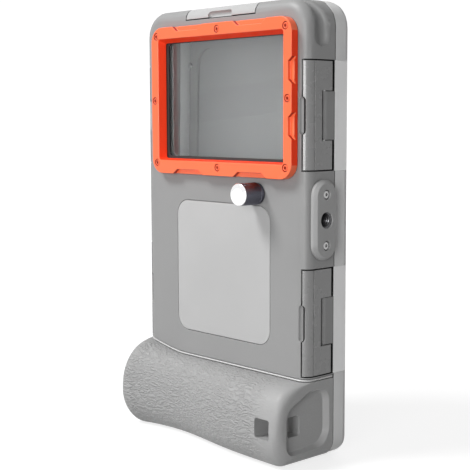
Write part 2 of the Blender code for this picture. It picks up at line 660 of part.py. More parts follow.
def scoop_ring(travel, side):
    along = travel / SCOOP_RUN
    short = 1.0 - min(travel / SCOOP_END, 1.0)
    size = (1.0 - SCOOP_TAPER * along) * math.sqrt(1.0 - short ** 2)
    half = max(SCOOP_WIDTH / 2 * size, CLEARANCE)
    depth = max(SCOOP_DEPTH * size, CLEARANCE / 2)
    spot, outward = surface_place(travel, side)
    spot.y = REAR_DEPTH - SCOOP_LAND - SCOOP_WIDTH / 2 - SCOOP_DRIFT * along ** 2
    ring = []
    for i in range(11):
        share = 1.0 - i / 5
        ring.append(spot + Vector((0.0, half * share, 0.0)) - outward * depth * scoop_shape(share))
    for share in (-1.0, 1.0):
        ring.append(spot + Vector((0.0, half * share, 0.0)) + outward * SCOOP_DEPTH)
    return ring


scoop_places = [SCOOP_RUN * (i / 12) ** 1.5 for i in range(13)]
for side, name in ((-1, "left"), (1, "right")):
    cut(rear_housing, loft(f"corner_scoop_{name}", [scoop_ring(place, side) for place in scoop_places]))


# Grip: soft moulding around the housing's lower end, lofted along its length
def grip_depth(x):
    waist = math.exp(-((x - GRIP_WAIST_X) / GRIP_WAIST_SPREAD) ** 2)
    flare = math.exp(-(x + HALF_WIDTH) / GRIP_FLARE_SPREAD)
    return GRIP_DEPTH - GRIP_WAIST * waist + GRIP_FLARE * flare


def round_inset(x, start, radius):
    beyond = min(max(x - start, 0.0), radius)
    return radius - math.sqrt(radius ** 2 - beyond ** 2)


def end_inset(x):
    near_end = round_inset(x, HALF_WIDTH - GRIP_END_ROUND, GRIP_END_ROUND)
    far_end = round_inset(-x, HALF_WIDTH - GRIP_FAR_ROUND, GRIP_FAR_ROUND)
    return near_end + far_end


def grip_ring(x):
    inset = end_inset(x)
    depth = grip_depth(x) - inset
    top_y = round_inset(abs(x), HALF_WIDTH - REAR_ROUND, REAR_ROUND)
    floor = round_inset(abs(x), HALF_WIDTH - BOTTOM_CORNER, BOTTOM_CORNER)
    top = grip_top(x) - PIPING_RADIUS - CLEARANCE
    belly = max(GRIP_BELLY_HEIGHT, floor + GRIP_BELLY_RISE)
    heel = min(GRIP_HEEL, depth)
    low = [(-(depth - heel) - heel * math.sin(a), belly - (belly - floor) * math.cos(a))
           for a in [math.radians(90.0 * i / 7) for i in range(8)]]
    high = []
    for i in range(1, 9):
        a = math.radians(90.0 - 90.0 * i / 8)
        drop = inset * math.sin(a)
        high.append((top_y - (depth + top_y) * math.sin(a) ** GRIP_FULLNESS,
                     belly + (top - drop - belly) * math.cos(a) ** GRIP_FULLNESS))
    outline = [(REAR_DEPTH, floor)] + low + high + [(REAR_DEPTH, top)]
    return [(x, y, z) for y, z in outline]


far_places = [-HALF_WIDTH + GRIP_FAR_ROUND * (1.0 - math.cos(math.pi / 2 * i / 6)) for i in range(7)]
mid_run = BODY_WIDTH - GRIP_FAR_ROUND - GRIP_END_ROUND
mid_places = [-HALF_WIDTH + GRIP_FAR_ROUND + mid_run * i / 13 for i in range(1, 14)]
end_places = [HALF_WIDTH - GRIP_END_ROUND * (1.0 - math.sin(math.pi / 2 * i / 5)) for i in range(1, 6)]
grip_places = far_places + mid_places + end_places
grip = loft("grip", [grip_ring(x) for x in grip_places], parts, root, RUBBER)
sleeve = box("sleeve", (-CORE_HALF - CLEARANCE, GRIP_BACK_INSET - CLEARANCE, GRIP_FLOOR),
             (CORE_HALF + CLEARANCE, REAR_DEPTH + OVERSHOOT, GRIP_TOP + 2 * OVERSHOOT))
leaf_reach = HINGE_HALF_LENGTH + CLEARANCE
leaf_room = box("leaf_room", (-leaf_reach, REAR_DEPTH - LEAF_DEPTH - CLEARANCE, -OVERSHOOT),
                (leaf_reach, REAR_DEPTH + OVERSHOOT, CORE_BOTTOM + LEAF_ROOT))
recess_floor = HALF_WIDTH - RECESS_DEPTH
end_recess = outline_prism("end_recess", RECESS_CORNERS, recess_floor, HALF_WIDTH + OVERSHOOT, "X",
                           corner_radii=RECESS_RADII)
tunnel_right = recess_floor - TUNNEL_BAR
tunnel_low = TUNNEL_CENTRE_Z - TUNNEL_HEIGHT / 2
tunnel_high = TUNNEL_CENTRE_Z + TUNNEL_HEIGHT / 2
tunnel_back = box("tunnel_back", (tunnel_right - TUNNEL_WIDTH, -GRIP_REACH, tunnel_low),
                  (tunnel_right, TUNNEL_BACK, tunnel_high))
tunnel_side = box("tunnel_side", (tunnel_right - TUNNEL_WIDTH / 2, TUNNEL_BACK - TUNNEL_DEPTH, tunnel_low),
                  (HALF_WIDTH, TUNNEL_BACK, tunnel_high))
join(tunnel_back, tunnel_side)
cut(grip, sleeve, leaf_room, end_recess, tunnel_back)
shade_round(grip)

# Piping bead between grip and housing, carried round both rear edges to the seam
bead_side = HALF_WIDTH - PIPING_SINK
bead_round = REAR_ROUND - PIPING_SINK
turn_x = HALF_WIDTH - REAR_ROUND
bead_route = [(-bead_side, REAR_DEPTH - CLEARANCE)]
bead_route += arc((-turn_x, REAR_ROUND), bead_round, math.pi, 1.5 * math.pi, 5)
bead_route += [(-turn_x + 2 * turn_x * i / 16, PIPING_SINK) for i in range(1, 16)]
bead_route += arc((turn_x, REAR_ROUND), bead_round, 1.5 * math.pi, 2.0 * math.pi, 5)
bead_route += [(bead_side, REAR_DEPTH - CLEARANCE)]
grip_piping = tube("grip_piping", [(x, y, grip_top(x)) for x, y in bead_route], PIPING_RADIUS, resolution=1,
                   collection=parts, material=PIPING)

# Knob, the shaft that carries its turn through the wall, and the finger inside
knob_axis = bpy.data.objects.new("knob_axis", None)
knob_axis.location = (KNOB_X, 0.0, KNOB_Z)
knob_axis.parent = root
cutters.objects.link(knob_axis)
AT_AXIS = (0.0, 0.0)
knob_face = -CLEARANCE - KNOB_LENGTH
knob = cylinder("knob", KNOB_RADIUS, knob_face, -CLEARANCE, "Y", AT_AXIS, KNOB_RIBS * 2, parts, knob_axis,
                CHROME)
knurl_reach = KNOB_RADIUS + KNURL_CUT / 3
for number in range(KNOB_RIBS):
    angle = 2 * math.pi * number / KNOB_RIBS
    spot = (math.cos(angle) * knurl_reach, math.sin(angle) * knurl_reach)
    cut(knob, cylinder(f"knurl_{number}", KNURL_CUT, knob_face + KNURL_TOP, -KNURL_BASE, "Y", spot, 4,
                       parent=knob_axis))
bore_radius = SHAFT_RADIUS + SCREW_PLAY
bore_top = knob_face + KNOB_CROWN
shaft_end = REAR_WALL + SHAFT_INNER_LENGTH
knob_shaft = cylinder("knob_shaft", SHAFT_RADIUS, bore_top + CLEARANCE, shaft_end, "Y", AT_AXIS, 16, parts,
                      knob_axis, STEEL)
cut(knob, cylinder("knob_bore", bore_radius, bore_top, OVERSHOOT, "Y", AT_AXIS, 16, parent=knob_axis))
knob_place = (KNOB_X, KNOB_Z)
shaft_gland = cylinder("shaft_gland", GLAND_RADIUS, 0.0, REAR_WALL + GLAND_PROUD, "Y", knob_place, 20, parts,
                       root, BRASS)
cut(shaft_gland, cylinder("gland_bore", bore_radius, -OVERSHOOT, OVERSHOOT, "Y", knob_place, 16),
    cylinder("oring_room", SHAFT_RADIUS + ORING_ROOM, ORING_Y - ORING_RADIUS - CLEARANCE,
             ORING_Y + ORING_RADIUS + CLEARANCE, "Y", knob_place, 16))
gland_seat = cylinder("gland_seat", GLAND_RADIUS + CLEARANCE, -OVERSHOOT, WINDOW_BOSS, "Y", knob_place, 20)
cut(rear_housing, gland_seat)
ring_radius = SHAFT_RADIUS + ORING_RADIUS + ORING_PLAY
ring_spots = arc(knob_place, ring_radius, 0.0, 2 * math.pi, 16)[:-1]
shaft_oring = tube("shaft_oring", [(x, ORING_Y, z) for x, z in ring_spots], ORING_RADIUS, closed=True,
                   resolution=1, collection=parts, material=SEAL)
clip_low = REAR_WALL + GLAND_PROUD + CLEARANCE
clip_high = clip_low + CIRCLIP_THICKNESS
shaft_circlip = cylinder("shaft_circlip", SHAFT_RADIUS + CIRCLIP_WIDTH, clip_low, clip_high, "Y", AT_AXIS,
                         16, parts, knob_axis, STEEL)
clip_gap = box("clip_gap", (-SHAFT_RADIUS / 2, 0.0, 0.0), (SHAFT_RADIUS / 2, OVERSHOOT, OVERSHOOT),
               parent=knob_axis)
cut(shaft_circlip, cylinder("clip_bore", bore_radius, 0.0, OVERSHOOT, "Y", AT_AXIS, 16, parent=knob_axis),
    clip_gap)

# Return spring, wound round the shaft between the wall and the lever
spring_low = REAR_WALL + SPRING_WIRE + CLEARANCE
spring_steps = 12 * SPRING_TURNS
spring_spots = []
for i in range(spring_steps + 1):
    angle = math.radians(30.0 * i)
    spring_spots.append((KNOB_X + SPRING_RADIUS * math.cos(angle), spring_low + SPRING_PITCH * i / 12,
                         KNOB_Z + SPRING_RADIUS * math.sin(angle)))
return_spring = tube("return_spring", spring_spots, SPRING_WIRE, resolution=1, collection=parts,
                     material=STEEL)

# Lever on the shaft, with the finger that presses the phone's side key
lever_low = spring_low + SPRING_PITCH * SPRING_TURNS + SPRING_WIRE + CLEARANCE
lever_high = lever_low + LEVER_THICKNESS
key_lever = cylinder("key_lever", LEVER_HUB, lever_low, lever_high, "Y", AT_AXIS, 20, parts, knob_axis,
                     STEEL)
reach = math.hypot(LEVER_REACH_X, LEVER_DROP)
slant = Vector((LEVER_REACH_X, -LEVER_DROP)) / reach
across = Vector((-slant.y, slant.x)) * LEVER_WIDTH / 2
arm_ends = [-across, slant * reach - across, slant * reach + across, across]
lever_arm = outline_prism("lever_arm", [tuple(p) for p in arm_ends], lever_low, lever_high, "Y",
                          parent=knob_axis)
tip = slant * (reach - LEVER_FINGER_RADIUS)
lever_finger = cylinder("lever_finger", LEVER_FINGER_RADIUS, lever_low, lever_high + LEVER_FINGER, "Y",
                        tuple(tip), 12, parent=knob_axis)
join(key_lever, lever_arm, lever_finger)
cut(key_lever, cylinder("lever_bore", bore_radius, 0.0, 2 * OVERSHOOT, "Y", AT_AXIS, 16, parent=knob_axis))

# Side mounting plate with its threaded insert and two screws
plate_half = PLATE_WIDTH / 2
plate_points = [(PLATE_CENTRE_Y + y, PLATE_CENTRE_Z + z) for y, z in
                arc((0.0, PLATE_HEIGHT / 2 - plate_half), plate_half, 0.0, math.pi, 10)
                + arc((0.0, -PLATE_HEIGHT / 2 + plate_half), plate_half, math.pi, 2 * math.pi, 10)]
plate_base = HALF_WIDTH + CLEARANCE
mount_plate = outline_prism("mount_plate", plate_points, plate_base, HALF_WIDTH + PLATE_PROUD, "X", parts,
                            root, LATCH_GREY)
chamfer = mount_plate.modifiers.new("chamfer", "BEVEL")
chamfer.width = PLATE_CHAMFER
chamfer.segments = 1
chamfer.limit_method = "ANGLE"
chamfer.angle_limit = math.radians(60.0)
plate_face = HALF_WIDTH + PLATE_PROUD
plate_place = (PLATE_CENTRE_Y, PLATE_CENTRE_Z)
insert_face = plate_face - INSERT_SINK
insert_back = insert_face - INSERT_DEPTH
mount_insert = cylinder("mount_insert", INSERT_RADIUS, insert_back, insert_face, "X", plate_place, 20, parts,
                        root, BRASS)
cut(mount_insert, cylinder("thread_bore", THREAD_RADIUS, 0.0, plate_face + OVERSHOOT, "X", plate_place, 20))
insert_room = cylinder("insert_room", INSERT_RADIUS + CLEARANCE, insert_back - CLEARANCE,
                       insert_face + CLEARANCE, "X", plate_place, 20)
thread_mouth = cylinder("thread_mouth", THREAD_RADIUS + CLEARANCE, HALF_WIDTH - CLEARANCE,
                        plate_face + OVERSHOOT, "X", plate_place, 20)
cut(mount_plate, insert_room, thread_mouth)
cut(rear_housing, insert_room)
screw_face = plate_face - PLATE_SCREW_SINK
head_back = screw_face - PLATE_SCREW_HEIGHT
for name, side in (("upper", 1), ("lower", -1)):
    place = (PLATE_CENTRE_Y, PLATE_CENTRE_Z + side * (PLATE_HEIGHT / 2 - PLATE_SCREW_MARGIN))
    item = cylinder(f"mount_screw_{name}", PLATE_SCREW_HEAD, head_back, screw_face, "X", place, 16, parts,
                    root, STEEL)
    shank = cylinder(f"mount_shank_{name}", PLATE_SCREW_SHANK, screw_face - PLATE_SCREW_LENGTH,
                     (head_back + screw_face) / 2, "X", place, 10)
    socket = cylinder(f"mount_socket_{name}", PLATE_SOCKET, screw_face - PLATE_SCREW_HEIGHT * SOCKET_SHARE,
                      screw_face + OVERSHOOT, "X", place, 6)
    join(item, shank)
    cut(item, socket)
    head_room = cylinder(f"mount_head_room_{name}", PLATE_SCREW_HEAD + CLEARANCE, head_back - CLEARANCE,
                         screw_face + OVERSHOOT, "X", place, 16)
    shank_room = cylinder(f"mount_shank_room_{name}", PLATE_SCREW_SHANK + SCREW_PLAY,
                          screw_face - PLATE_SCREW_LENGTH - CLEARANCE, screw_face, "X", place, 10)
    cut(mount_plate, head_room, shank_room)
    cut(rear_housing, shank_room)

# Front door: the half over the phone's screen
front_door = rounded_slab("front_door", HALF_WIDTH, CLEARANCE, BODY_HEIGHT, DOOR_BACK, DOOR_FRONT,
                          TOP_CORNER, BOTTOM_CORNER, 7, front_round=DOOR_ROUND, rim_segments=3,
                          collection=parts, material=GREY)
wall_face = DOOR_FRONT - DOOR_WALL
door_bay = rounded_slab("door_bay", BAY_HALF, BAY_BOTTOM, BAY_TOP, DOOR_BACK - OVERSHOOT, wall_face,
                        BAY_CORNER, BAY_CORNER, 3)
screen_half = SCREEN_WIDTH / 2
screen_hole = rounded_slab("screen_hole", screen_half, SCREEN_BOTTOM, SCREEN_TOP, wall_face - OVERSHOOT,
                           DOOR_FRONT + OVERSHOOT, SCREEN_CORNER, SCREEN_CORNER, 4)
cut(front_door, door_bay, screen_hole)
film_y = wall_face - CLEARANCE - MEMBRANE_THICKNESS
touch_membrane = rounded_slab("touch_membrane", screen_half + MEMBRANE_LIP, SCREEN_BOTTOM - MEMBRANE_LIP,
                              SCREEN_TOP + MEMBRANE_LIP, film_y, film_y + MEMBRANE_THICKNESS,
                              SCREEN_CORNER + MEMBRANE_LIP, SCREEN_CORNER + MEMBRANE_LIP, 4,
                              collection=parts, material=FILM)
frame_y = wall_face - CLEARANCE - FRAME_THICKNESS
frame_corner = BAY_CORNER - CLEARANCE
membrane_frame = rounded_slab("membrane_frame", screen_half + FRAME_LIP, SCREEN_BOTTOM - FRAME_LIP,
                              SCREEN_TOP + FRAME_LIP, frame_y, frame_y + FRAME_THICKNESS, frame_corner,
                              frame_corner, 3, collection=parts, material=LATCH_GREY)
film_lip = MEMBRANE_LIP + CLEARANCE
film_room = rounded_slab("film_room", screen_half + film_lip, SCREEN_BOTTOM - film_lip,
                         SCREEN_TOP + film_lip, film_y - CLEARANCE, wall_face, SCREEN_CORNER + film_lip,
                         SCREEN_CORNER + film_lip, 4)
cut(membrane_frame, screen_hole, film_room)
frame_screw_x = screen_half + (film_lip + FRAME_LIP) / 2
frame_screw_rise = (SCREEN_TOP - SCREEN_BOTTOM) / 2 - SCREEN_CORNER
screen_middle = (SCREEN_TOP + SCREEN_BOTTOM) / 2
frame_screw_spots = [(side * frame_screw_x, screen_middle + step * frame_screw_rise)
                     for side in (-1, 1) for step in (-1, 0, 1)]
for number, (x, z) in enumerate(frame_screw_spots, 1):
    head_y = frame_y - CLEARANCE - MEMBRANE_SCREW_HEIGHT
    screw(f"membrane_screw_{number}", x, z, head_y, MEMBRANE_SCREW_HEAD, MEMBRANE_SCREW_HEIGHT,
          MEMBRANE_SCREW_SHANK, MEMBRANE_SCREW_LENGTH, 10, STEEL)
    screw_room = cylinder(f"frame_screw_room_{number}", MEMBRANE_SCREW_SHANK + SCREW_PLAY, head_y,
                          head_y + MEMBRANE_SCREW_LENGTH + CLEARANCE, "Y", (x, z), 8)
    cut(membrane_frame, screw_room)
    cut(front_door, screw_room)

# Door hinge along the bottom edge. The door is hollowed round the pin out to where its corners have risen
# above it
hinge_place = (HINGE_Y, HINGE_Z)
corner_left = BOTTOM_CORNER - HINGE_Z - CLEARANCE
sweep_half = HALF_WIDTH - BOTTOM_CORNER + math.sqrt(BOTTOM_CORNER ** 2 - corner_left ** 2)
door_sweep = cylinder("door_sweep", HINGE_SWEEP, -sweep_half, sweep_half, "X", hinge_place, 24)
cut(front_door, door_sweep)
web_reach = HINGE_SWEEP + HINGE_WEB_ROOT
door_web = box("door_web", (-DOOR_KNUCKLE_HALF, HINGE_Y, HINGE_Z - HINGE_RADIUS),
               (DOOR_KNUCKLE_HALF, HINGE_Y + web_reach, HINGE_Z + HINGE_RADIUS))
door_knuckle = cylinder("door_knuckle", HINGE_RADIUS, -DOOR_KNUCKLE_HALF, DOOR_KNUCKLE_HALF, "X",
                        hinge_place, 16)
join(front_door, door_web, door_knuckle)
knuckle_start = DOOR_KNUCKLE_HALF + CLEARANCE
knuckle_room = cylinder("knuckle_room", HINGE_SWEEP, -knuckle_start, knuckle_start, "X", hinge_place, 24)
cut(rear_housing, knuckle_room)
for side, name in ((-1, "left"), (1, "right")):
    low, high = sorted((side * knuckle_start, side * HINGE_HALF_LENGTH))
    rear_knuckle = cylinder(f"rear_knuckle_{name}", HINGE_RADIUS, low, high, "X", hinge_place, 16)
    join(rear_housing, rear_knuckle)
hinge_bore = cylinder("hinge_bore", HINGE_PIN_RADIUS + PIN_PLAY, -HINGE_HALF_LENGTH - OVERSHOOT,
                      HINGE_HALF_LENGTH + OVERSHOOT, "X", hinge_place, 12)
cut(rear_housing, hinge_bore)
cut(front_door, hinge_bore)
pin_half = HINGE_HALF_LENGTH - CLEARANCE
hinge_pin = cylinder("hinge_pin", HINGE_PIN_RADIUS, -pin_half, pin_half, "X", hinge_place, 12, parts, root,
                     STEEL)


# Latches: each lies in a pocket of the housing, turns on a pin in the door's lug and hooks over the rear
# edge. They are drawn about the pin with x outwards, y towards the door and z along the latch.
def latch_outline():
    outer = LATCH_PIVOT_IN
    rear = -LATCH_PIVOT_Y
    tip = outer - LATCH_TIP_IN
    bend = (outer - REAR_ROUND, rear + REAR_ROUND)
    tip_outer = -math.acos((tip - bend[0]) / REAR_ROUND)
    inner_radius = REAR_ROUND - LATCH_THICKNESS
    tip_inner = -math.acos((tip - bend[0]) / inner_radius)
    front = LATCH_FRONT_Y - LATCH_PIVOT_Y
    points = [(outer, front)]
    points += reversed(arc(bend, REAR_ROUND, tip_outer, 0.0, 5))
    points += arc(bend, inner_radius, tip_inner, 0.0, 4)
    points += reversed(arc((0.0, 0.0), outer, math.radians(100.0), math.radians(275.0), 8))
    points += [(outer / 4, front)]
    return points


def pocket_outline():
    outer = LATCH_PIVOT_IN
    rear = -LATCH_PIVOT_Y
    tip = outer - LATCH_TIP_IN - CLEARANCE
    bend = (outer - REAR_ROUND, rear + REAR_ROUND)
    inner_radius = REAR_ROUND - LATCH_THICKNESS - CLEARANCE
    front = LATCH_FRONT_Y - LATCH_PIVOT_Y
    swing = math.hypot(outer, front) + CLEARANCE
    shelf = outer + CLEARANCE
    beyond = REAR_DEPTH - LATCH_PIVOT_Y + OVERSHOOT
    # Where the latch's front inner corner ends up when it is fully open
    heel_turn = math.atan2(front, outer / 4) + math.radians(LATCH_OPEN)
    heel = math.hypot(outer / 4, front) * math.sin(heel_turn)
    knee = -shelf - POCKET_KNEE
    points = [(outer + OVERSHOOT, rear - OVERSHOOT), (tip, rear - OVERSHOOT)]
    points += arc(bend, inner_radius, -math.acos((tip - bend[0]) / inner_radius), 0.0, 4)
    points += [(outer - LATCH_THICKNESS - CLEARANCE, knee), (-shelf, knee + POCKET_KNEE),
               (-shelf, heel - POCKET_RELIEF), (-swing, heel), (-swing, beyond), (outer + OVERSHOOT, beyond)]
    return points


def capsule(name, radius, length, centre, parent):
    data = bmesh.new()
    bmesh.ops.create_uvsphere(data, u_segments=14, v_segments=7, radius=radius)
    for vert in data.verts:
        vert.co.z += math.copysign(length / 2 - radius, vert.co.z)
    bmesh.ops.translate(data, verts=data.verts, vec=Vector((*centre, 0.0)))
    return new_object(name, data, cutters, parent)


def add_latch(name, place, turn):
    pivot = bpy.data.objects.new(f"{name}_axis", None)
    pivot.location = place
    pivot.rotation_euler = (0.0, turn, 0.0)
    pivot.parent = root
    cutters.objects.link(pivot)
    half = LATCH_LENGTH / 2
    latch = outline_prism(name, latch_outline(), -half, half, "Z", parts, pivot, LATCH_GREY)
    lug_half = LUG_LENGTH / 2
    lug_room = box(f"{name}_lug_room", (-OVERSHOOT, LUG_NOTCH_Y - LATCH_PIVOT_Y, -lug_half - CLEARANCE),
                   (OVERSHOOT, OVERSHOOT, lug_half + CLEARANCE), parent=pivot)
    slot_spot = (LATCH_PIVOT_IN - LATCH_TIP_IN, -LATCH_PIVOT_Y + SLOT_RADIUS / 5)
    slot = capsule(f"{name}_slot", SLOT_RADIUS, SLOT_LENGTH, slot_spot, pivot)
    line_y = REAR_ROUND - LATCH_PIVOT_Y
    line_floor = LATCH_PIVOT_IN - LATCH_LINE_DEPTH
    line = box(f"{name}_line", (line_floor, line_y - LATCH_LINE_HALF, -LATCH_LENGTH),
               (LATCH_PIVOT_IN + OVERSHOOT, line_y + LATCH_LINE_HALF, LATCH_LENGTH), parent=pivot)
    bore = cylinder(f"{name}_bore", PIN_RADIUS + PIN_PLAY, -PIN_LENGTH / 2 - CLEARANCE,
                    PIN_LENGTH / 2 + CLEARANCE, "Z", (0.0, 0.0), 12, parent=pivot)
    cut(latch, lug_room, slot, line, bore)
    pocket = outline_prism(f"{name}_pocket", pocket_outline(), -POCKET_LENGTH / 2, POCKET_LENGTH / 2, "Z",
                           parent=pivot)
    cut(rear_housing, pocket, slot)
    door_edge = DOOR_BACK - LATCH_PIVOT_Y
    lug = cylinder(f"{name}_lug", LUG_RADIUS, -lug_half, lug_half, "Z", (0.0, 0.0), 16, parent=pivot)
    lug_web = box(f"{name}_lug_web", (-LUG_RADIUS, 0.0, -lug_half),
                  (LUG_RADIUS, door_edge + LUG_RADIUS, lug_half), parent=pivot)
    join(lug, lug_web)
    strip = box(f"{name}_strip", (LATCH_PIVOT_IN - STRIP_SINK, door_edge - OVERSHOOT, -POCKET_LENGTH / 2),
                (LATCH_PIVOT_IN + OVERSHOOT, door_edge + DOOR_DEPTH + OVERSHOOT, POCKET_LENGTH / 2),
                parent=pivot)
    cut(front_door, strip)
    join(front_door, lug)
    cut(front_door, bore)
    cylinder(f"{name}_pin", PIN_RADIUS, -PIN_LENGTH / 2, PIN_LENGTH / 2, "Z", (0.0, 0.0), 12, parts, pivot,
             STEEL)


side_x = HALF_WIDTH - LATCH_PIVOT_IN
add_latch("latch_right_upper", (side_x, LATCH_PIVOT_Y, RIGHT_UPPER_Z), 0.0)
add_latch("latch_right_lower", (side_x, LATCH_PIVOT_Y, RIGHT_LOWER_Z), 0.0)
add_latch("latch_left_upper", (-side_x, LATCH_PIVOT_Y, LEFT_UPPER_Z), math.pi)
add_latch("latch_left_lower", (-side_x, LATCH_PIVOT_Y, LEFT_LOWER_Z), math.pi)
add_latch("latch_top", (0.0, LATCH_PIVOT_Y, BODY_HEIGHT - LATCH_PIVOT_IN), -math.pi / 2)

# Silicone cushions that locate the phone
cushion_x = BAY_HALF - CLEARANCE
cushion_low = BAY_BOTTOM + CLEARANCE
cushion_y = WINDOW_BOSS + CUSHION_LIFT
side_low = cushion_low + CUSHION_THICKNESS + CLEARANCE
side_high = KNOB_Z - LEVER_DROP - CUSHION_UNDER_LEVER
for name, side in (("left", -1), ("right", 1)):
    middle_x = side * (cushion_x - CUSHION_THICKNESS / 2)
    rounded_slab(f"cushion_{name}", CUSHION_THICKNESS / 2, side_low, side_high, cushion_y,
                 cushion_y + CUSHION_DEPTH, CUSHION_ROUND, CUSHION_ROUND, 2, centre_x=middle_x,
                 collection=parts, material=SILICONE)
rounded_slab("cushion_bottom", cushion_x - BAY_CORNER, cushion_low, cushion_low + CUSHION_THICKNESS,
             cushion_y, cushion_y + CUSHION_DEPTH, CUSHION_ROUND, CUSHION_ROUND, 2, collection=parts,
             material=SILICONE)

shade_round(knob_shaft, shaft_gland, hinge_pin)

# Footprint: the grip's rear surface and the door's front face are equally far from the origin
grip_rear = max(grip_depth(x) - end_inset(x) for x in grip_places)
root.location.y = (grip_rear - DOOR_FRONT) / 2
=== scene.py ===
import json
import math

import bmesh
import bpy
import numpy as np
from mathutils import Matrix, Vector


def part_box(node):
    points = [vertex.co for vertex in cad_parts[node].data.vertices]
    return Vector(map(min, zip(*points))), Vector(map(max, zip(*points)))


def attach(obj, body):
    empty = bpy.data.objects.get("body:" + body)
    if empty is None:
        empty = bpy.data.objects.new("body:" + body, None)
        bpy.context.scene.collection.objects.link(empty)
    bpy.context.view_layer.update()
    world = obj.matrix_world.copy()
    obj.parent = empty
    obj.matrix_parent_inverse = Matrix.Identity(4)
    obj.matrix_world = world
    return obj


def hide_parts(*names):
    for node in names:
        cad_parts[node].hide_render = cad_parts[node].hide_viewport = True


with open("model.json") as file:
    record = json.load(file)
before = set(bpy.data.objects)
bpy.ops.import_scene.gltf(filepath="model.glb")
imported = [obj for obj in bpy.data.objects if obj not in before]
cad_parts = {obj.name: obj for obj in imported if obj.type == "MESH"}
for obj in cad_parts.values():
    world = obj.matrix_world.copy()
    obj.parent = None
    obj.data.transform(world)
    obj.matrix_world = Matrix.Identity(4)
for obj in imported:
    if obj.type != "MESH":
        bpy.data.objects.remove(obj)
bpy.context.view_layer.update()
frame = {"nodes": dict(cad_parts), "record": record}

# A grey diving housing for a phone: rear view with the orange camera window, on a white studio floor.
# Sizes are in millimetres, x from the middle of the housing, y from its rear face, z from the ground
mm = 0.001
nodes = frame["nodes"]
housingLow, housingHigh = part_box("rear_housing")
modelShift = np.array([(housingLow.x + housingHigh.x) / 2, housingLow.y, 0.0])
fullTurn, quarterTurn = 2 * math.pi, math.pi / 2
print("frame loaded:", len(nodes), "nodes")


# Mesh helpers
def gridObject(name, points, closeRows=False, closeColumns=False, caps=False, sharp=35.0, shift=modelShift):
    # points[row, column] joined by quads; caps closes the first and the last row with one face each
    points = np.asarray(points)
    rows, columns = points.shape[:2]
    i = np.arange(rows if closeRows else rows - 1)[:, None]
    j = np.arange(columns if closeColumns else columns - 1)[None, :]
    nextI, nextJ = (i + 1) % rows, (j + 1) % columns
    quads = np.stack([i * columns + j, nextI * columns + j, nextI * columns + nextJ, i * columns + nextJ], -1)
    faces = quads.reshape(-1, 4).tolist()
    if caps:
        faces.append(np.arange(columns).tolist())
        faces.append((np.arange(columns)[::-1] + (rows - 1) * columns).tolist())
    mesh = bpy.data.meshes.new(name)
    mesh.from_pydata((points.reshape(-1, 3) * mm + shift).tolist(), [], faces)
    if caps or (closeRows and closeColumns):
        turnOutwards(mesh)
    mesh.shade_smooth()
    mesh.set_sharp_from_angle(angle=math.radians(sharp))
    return linkedObject(name, mesh)


def linkedObject(name, data):
    item = bpy.data.objects.new(name, data)
    bpy.context.scene.collection.objects.link(item)
    return item


def turnOutwards(mesh):
    data = bmesh.new()
    data.from_mesh(mesh)
    bmesh.ops.remove_doubles(data, verts=data.verts, dist=1e-7)
    bmesh.ops.recalc_face_normals(data, faces=data.faces)
    data.to_mesh(mesh)
    data.free()


def closedObject(name, rings, sharp=35.0):
    return gridObject(name, rings, closeColumns=True, caps=True, sharp=sharp)


def lift(flat, depth, axis):
    # Two flat coordinates and the depth along the axis, in the order x, y, z
    return np.insert(flat, "xyz".index(axis), depth, axis=1)


def boxCorners(lowA, lowB, highA, highB):
    return np.array([[lowA, lowB], [highA, lowB], [highA, highB], [lowA, highB]], float)


def arcPoints(cx, cy, radius, start, end, steps):
    # Points of a circle: centre plus radius times cosine and sine, from one angle to the other
    angle = np.linspace(start, end, steps + 1)
    return np.stack([cx + radius * np.cos(angle), cy + radius * np.sin(angle)], 1)


def roundedRect(halfX, lowZ, highZ, corner, cornerSteps, flankStops=(), railStops=()):
    # A rectangle with a quarter circle at each corner, anticlockwise from the lower right, with the outward
    # direction at each point. The stops are shares of the straight runs where extra points are wanted
    stops = [np.unique([0.0, 1.0, *extra])[:, None] for extra in (flankStops, railStops)]
    quarter = np.linspace(0.0, quarterTurn, cornerSteps + 1)[1:-1]
    x, low, high = halfX - corner, lowZ + corner, highZ - corner
    centres = np.array([(x, low), (x, high), (-x, high), (-x, low)])
    points, turns = [], []
    for k, out in enumerate(np.array([(1.0, 0.0), (0.0, 1.0), (-1.0, 0.0), (0.0, -1.0)])):
        here, ahead = centres[k], centres[(k + 1) % 4]
        run = here + (ahead - here) * stops[k % 2]
        bend = np.stack([np.cos(k * quarterTurn + quarter), np.sin(k * quarterTurn + quarter)], 1)
        points += [run + out * corner, ahead + bend * corner]
        turns += [np.tile(out, (len(run), 1)), bend]
    return np.concatenate(points), np.concatenate(turns)


def quarterRound(start, level, inset, rise, steps=4):
    # Rows (inset, depth) from a wall into a face: start + inset (1 - cos t), level + rise (1 - sin t)
    return [(start + inset * (1 - math.cos(t)), level + rise * (1 - math.sin(t)))
            for t in np.linspace(0.0, quarterTurn, steps)]


def roundedEdge(back, front, edge, backEdge):
    # Rows of a plate's side: a quarter round at the back, a straight wall, a quarter round in front
    rows = [(backEdge * (1 - math.sin(t)), back - backEdge * (1 - math.cos(t)))
            for t in np.linspace(0.0, quarterTurn, 5)]
    return rows + quarterRound(0.0, front, edge, edge, 5)


def plateObject(name, outline, outward, rows, axis="y"):
    # An outline carried through rows of (inset, depth): each row is the outline moved inwards by its inset
    return closedObject(name, [lift(outline - outward * inset, depth, axis) for inset, depth in rows])


def placedRect(centre, *sizes):
    # A rounded rectangle moved sideways to its centre
    outline, outward = roundedRect(*sizes)
    return outline + np.array([centre, 0.0]), outward


def boxObject(name, corners, low, high, axis):
    return plateObject(name, boxCorners(*corners), 0.0, [(0.0, low), (0.0, high)], axis)


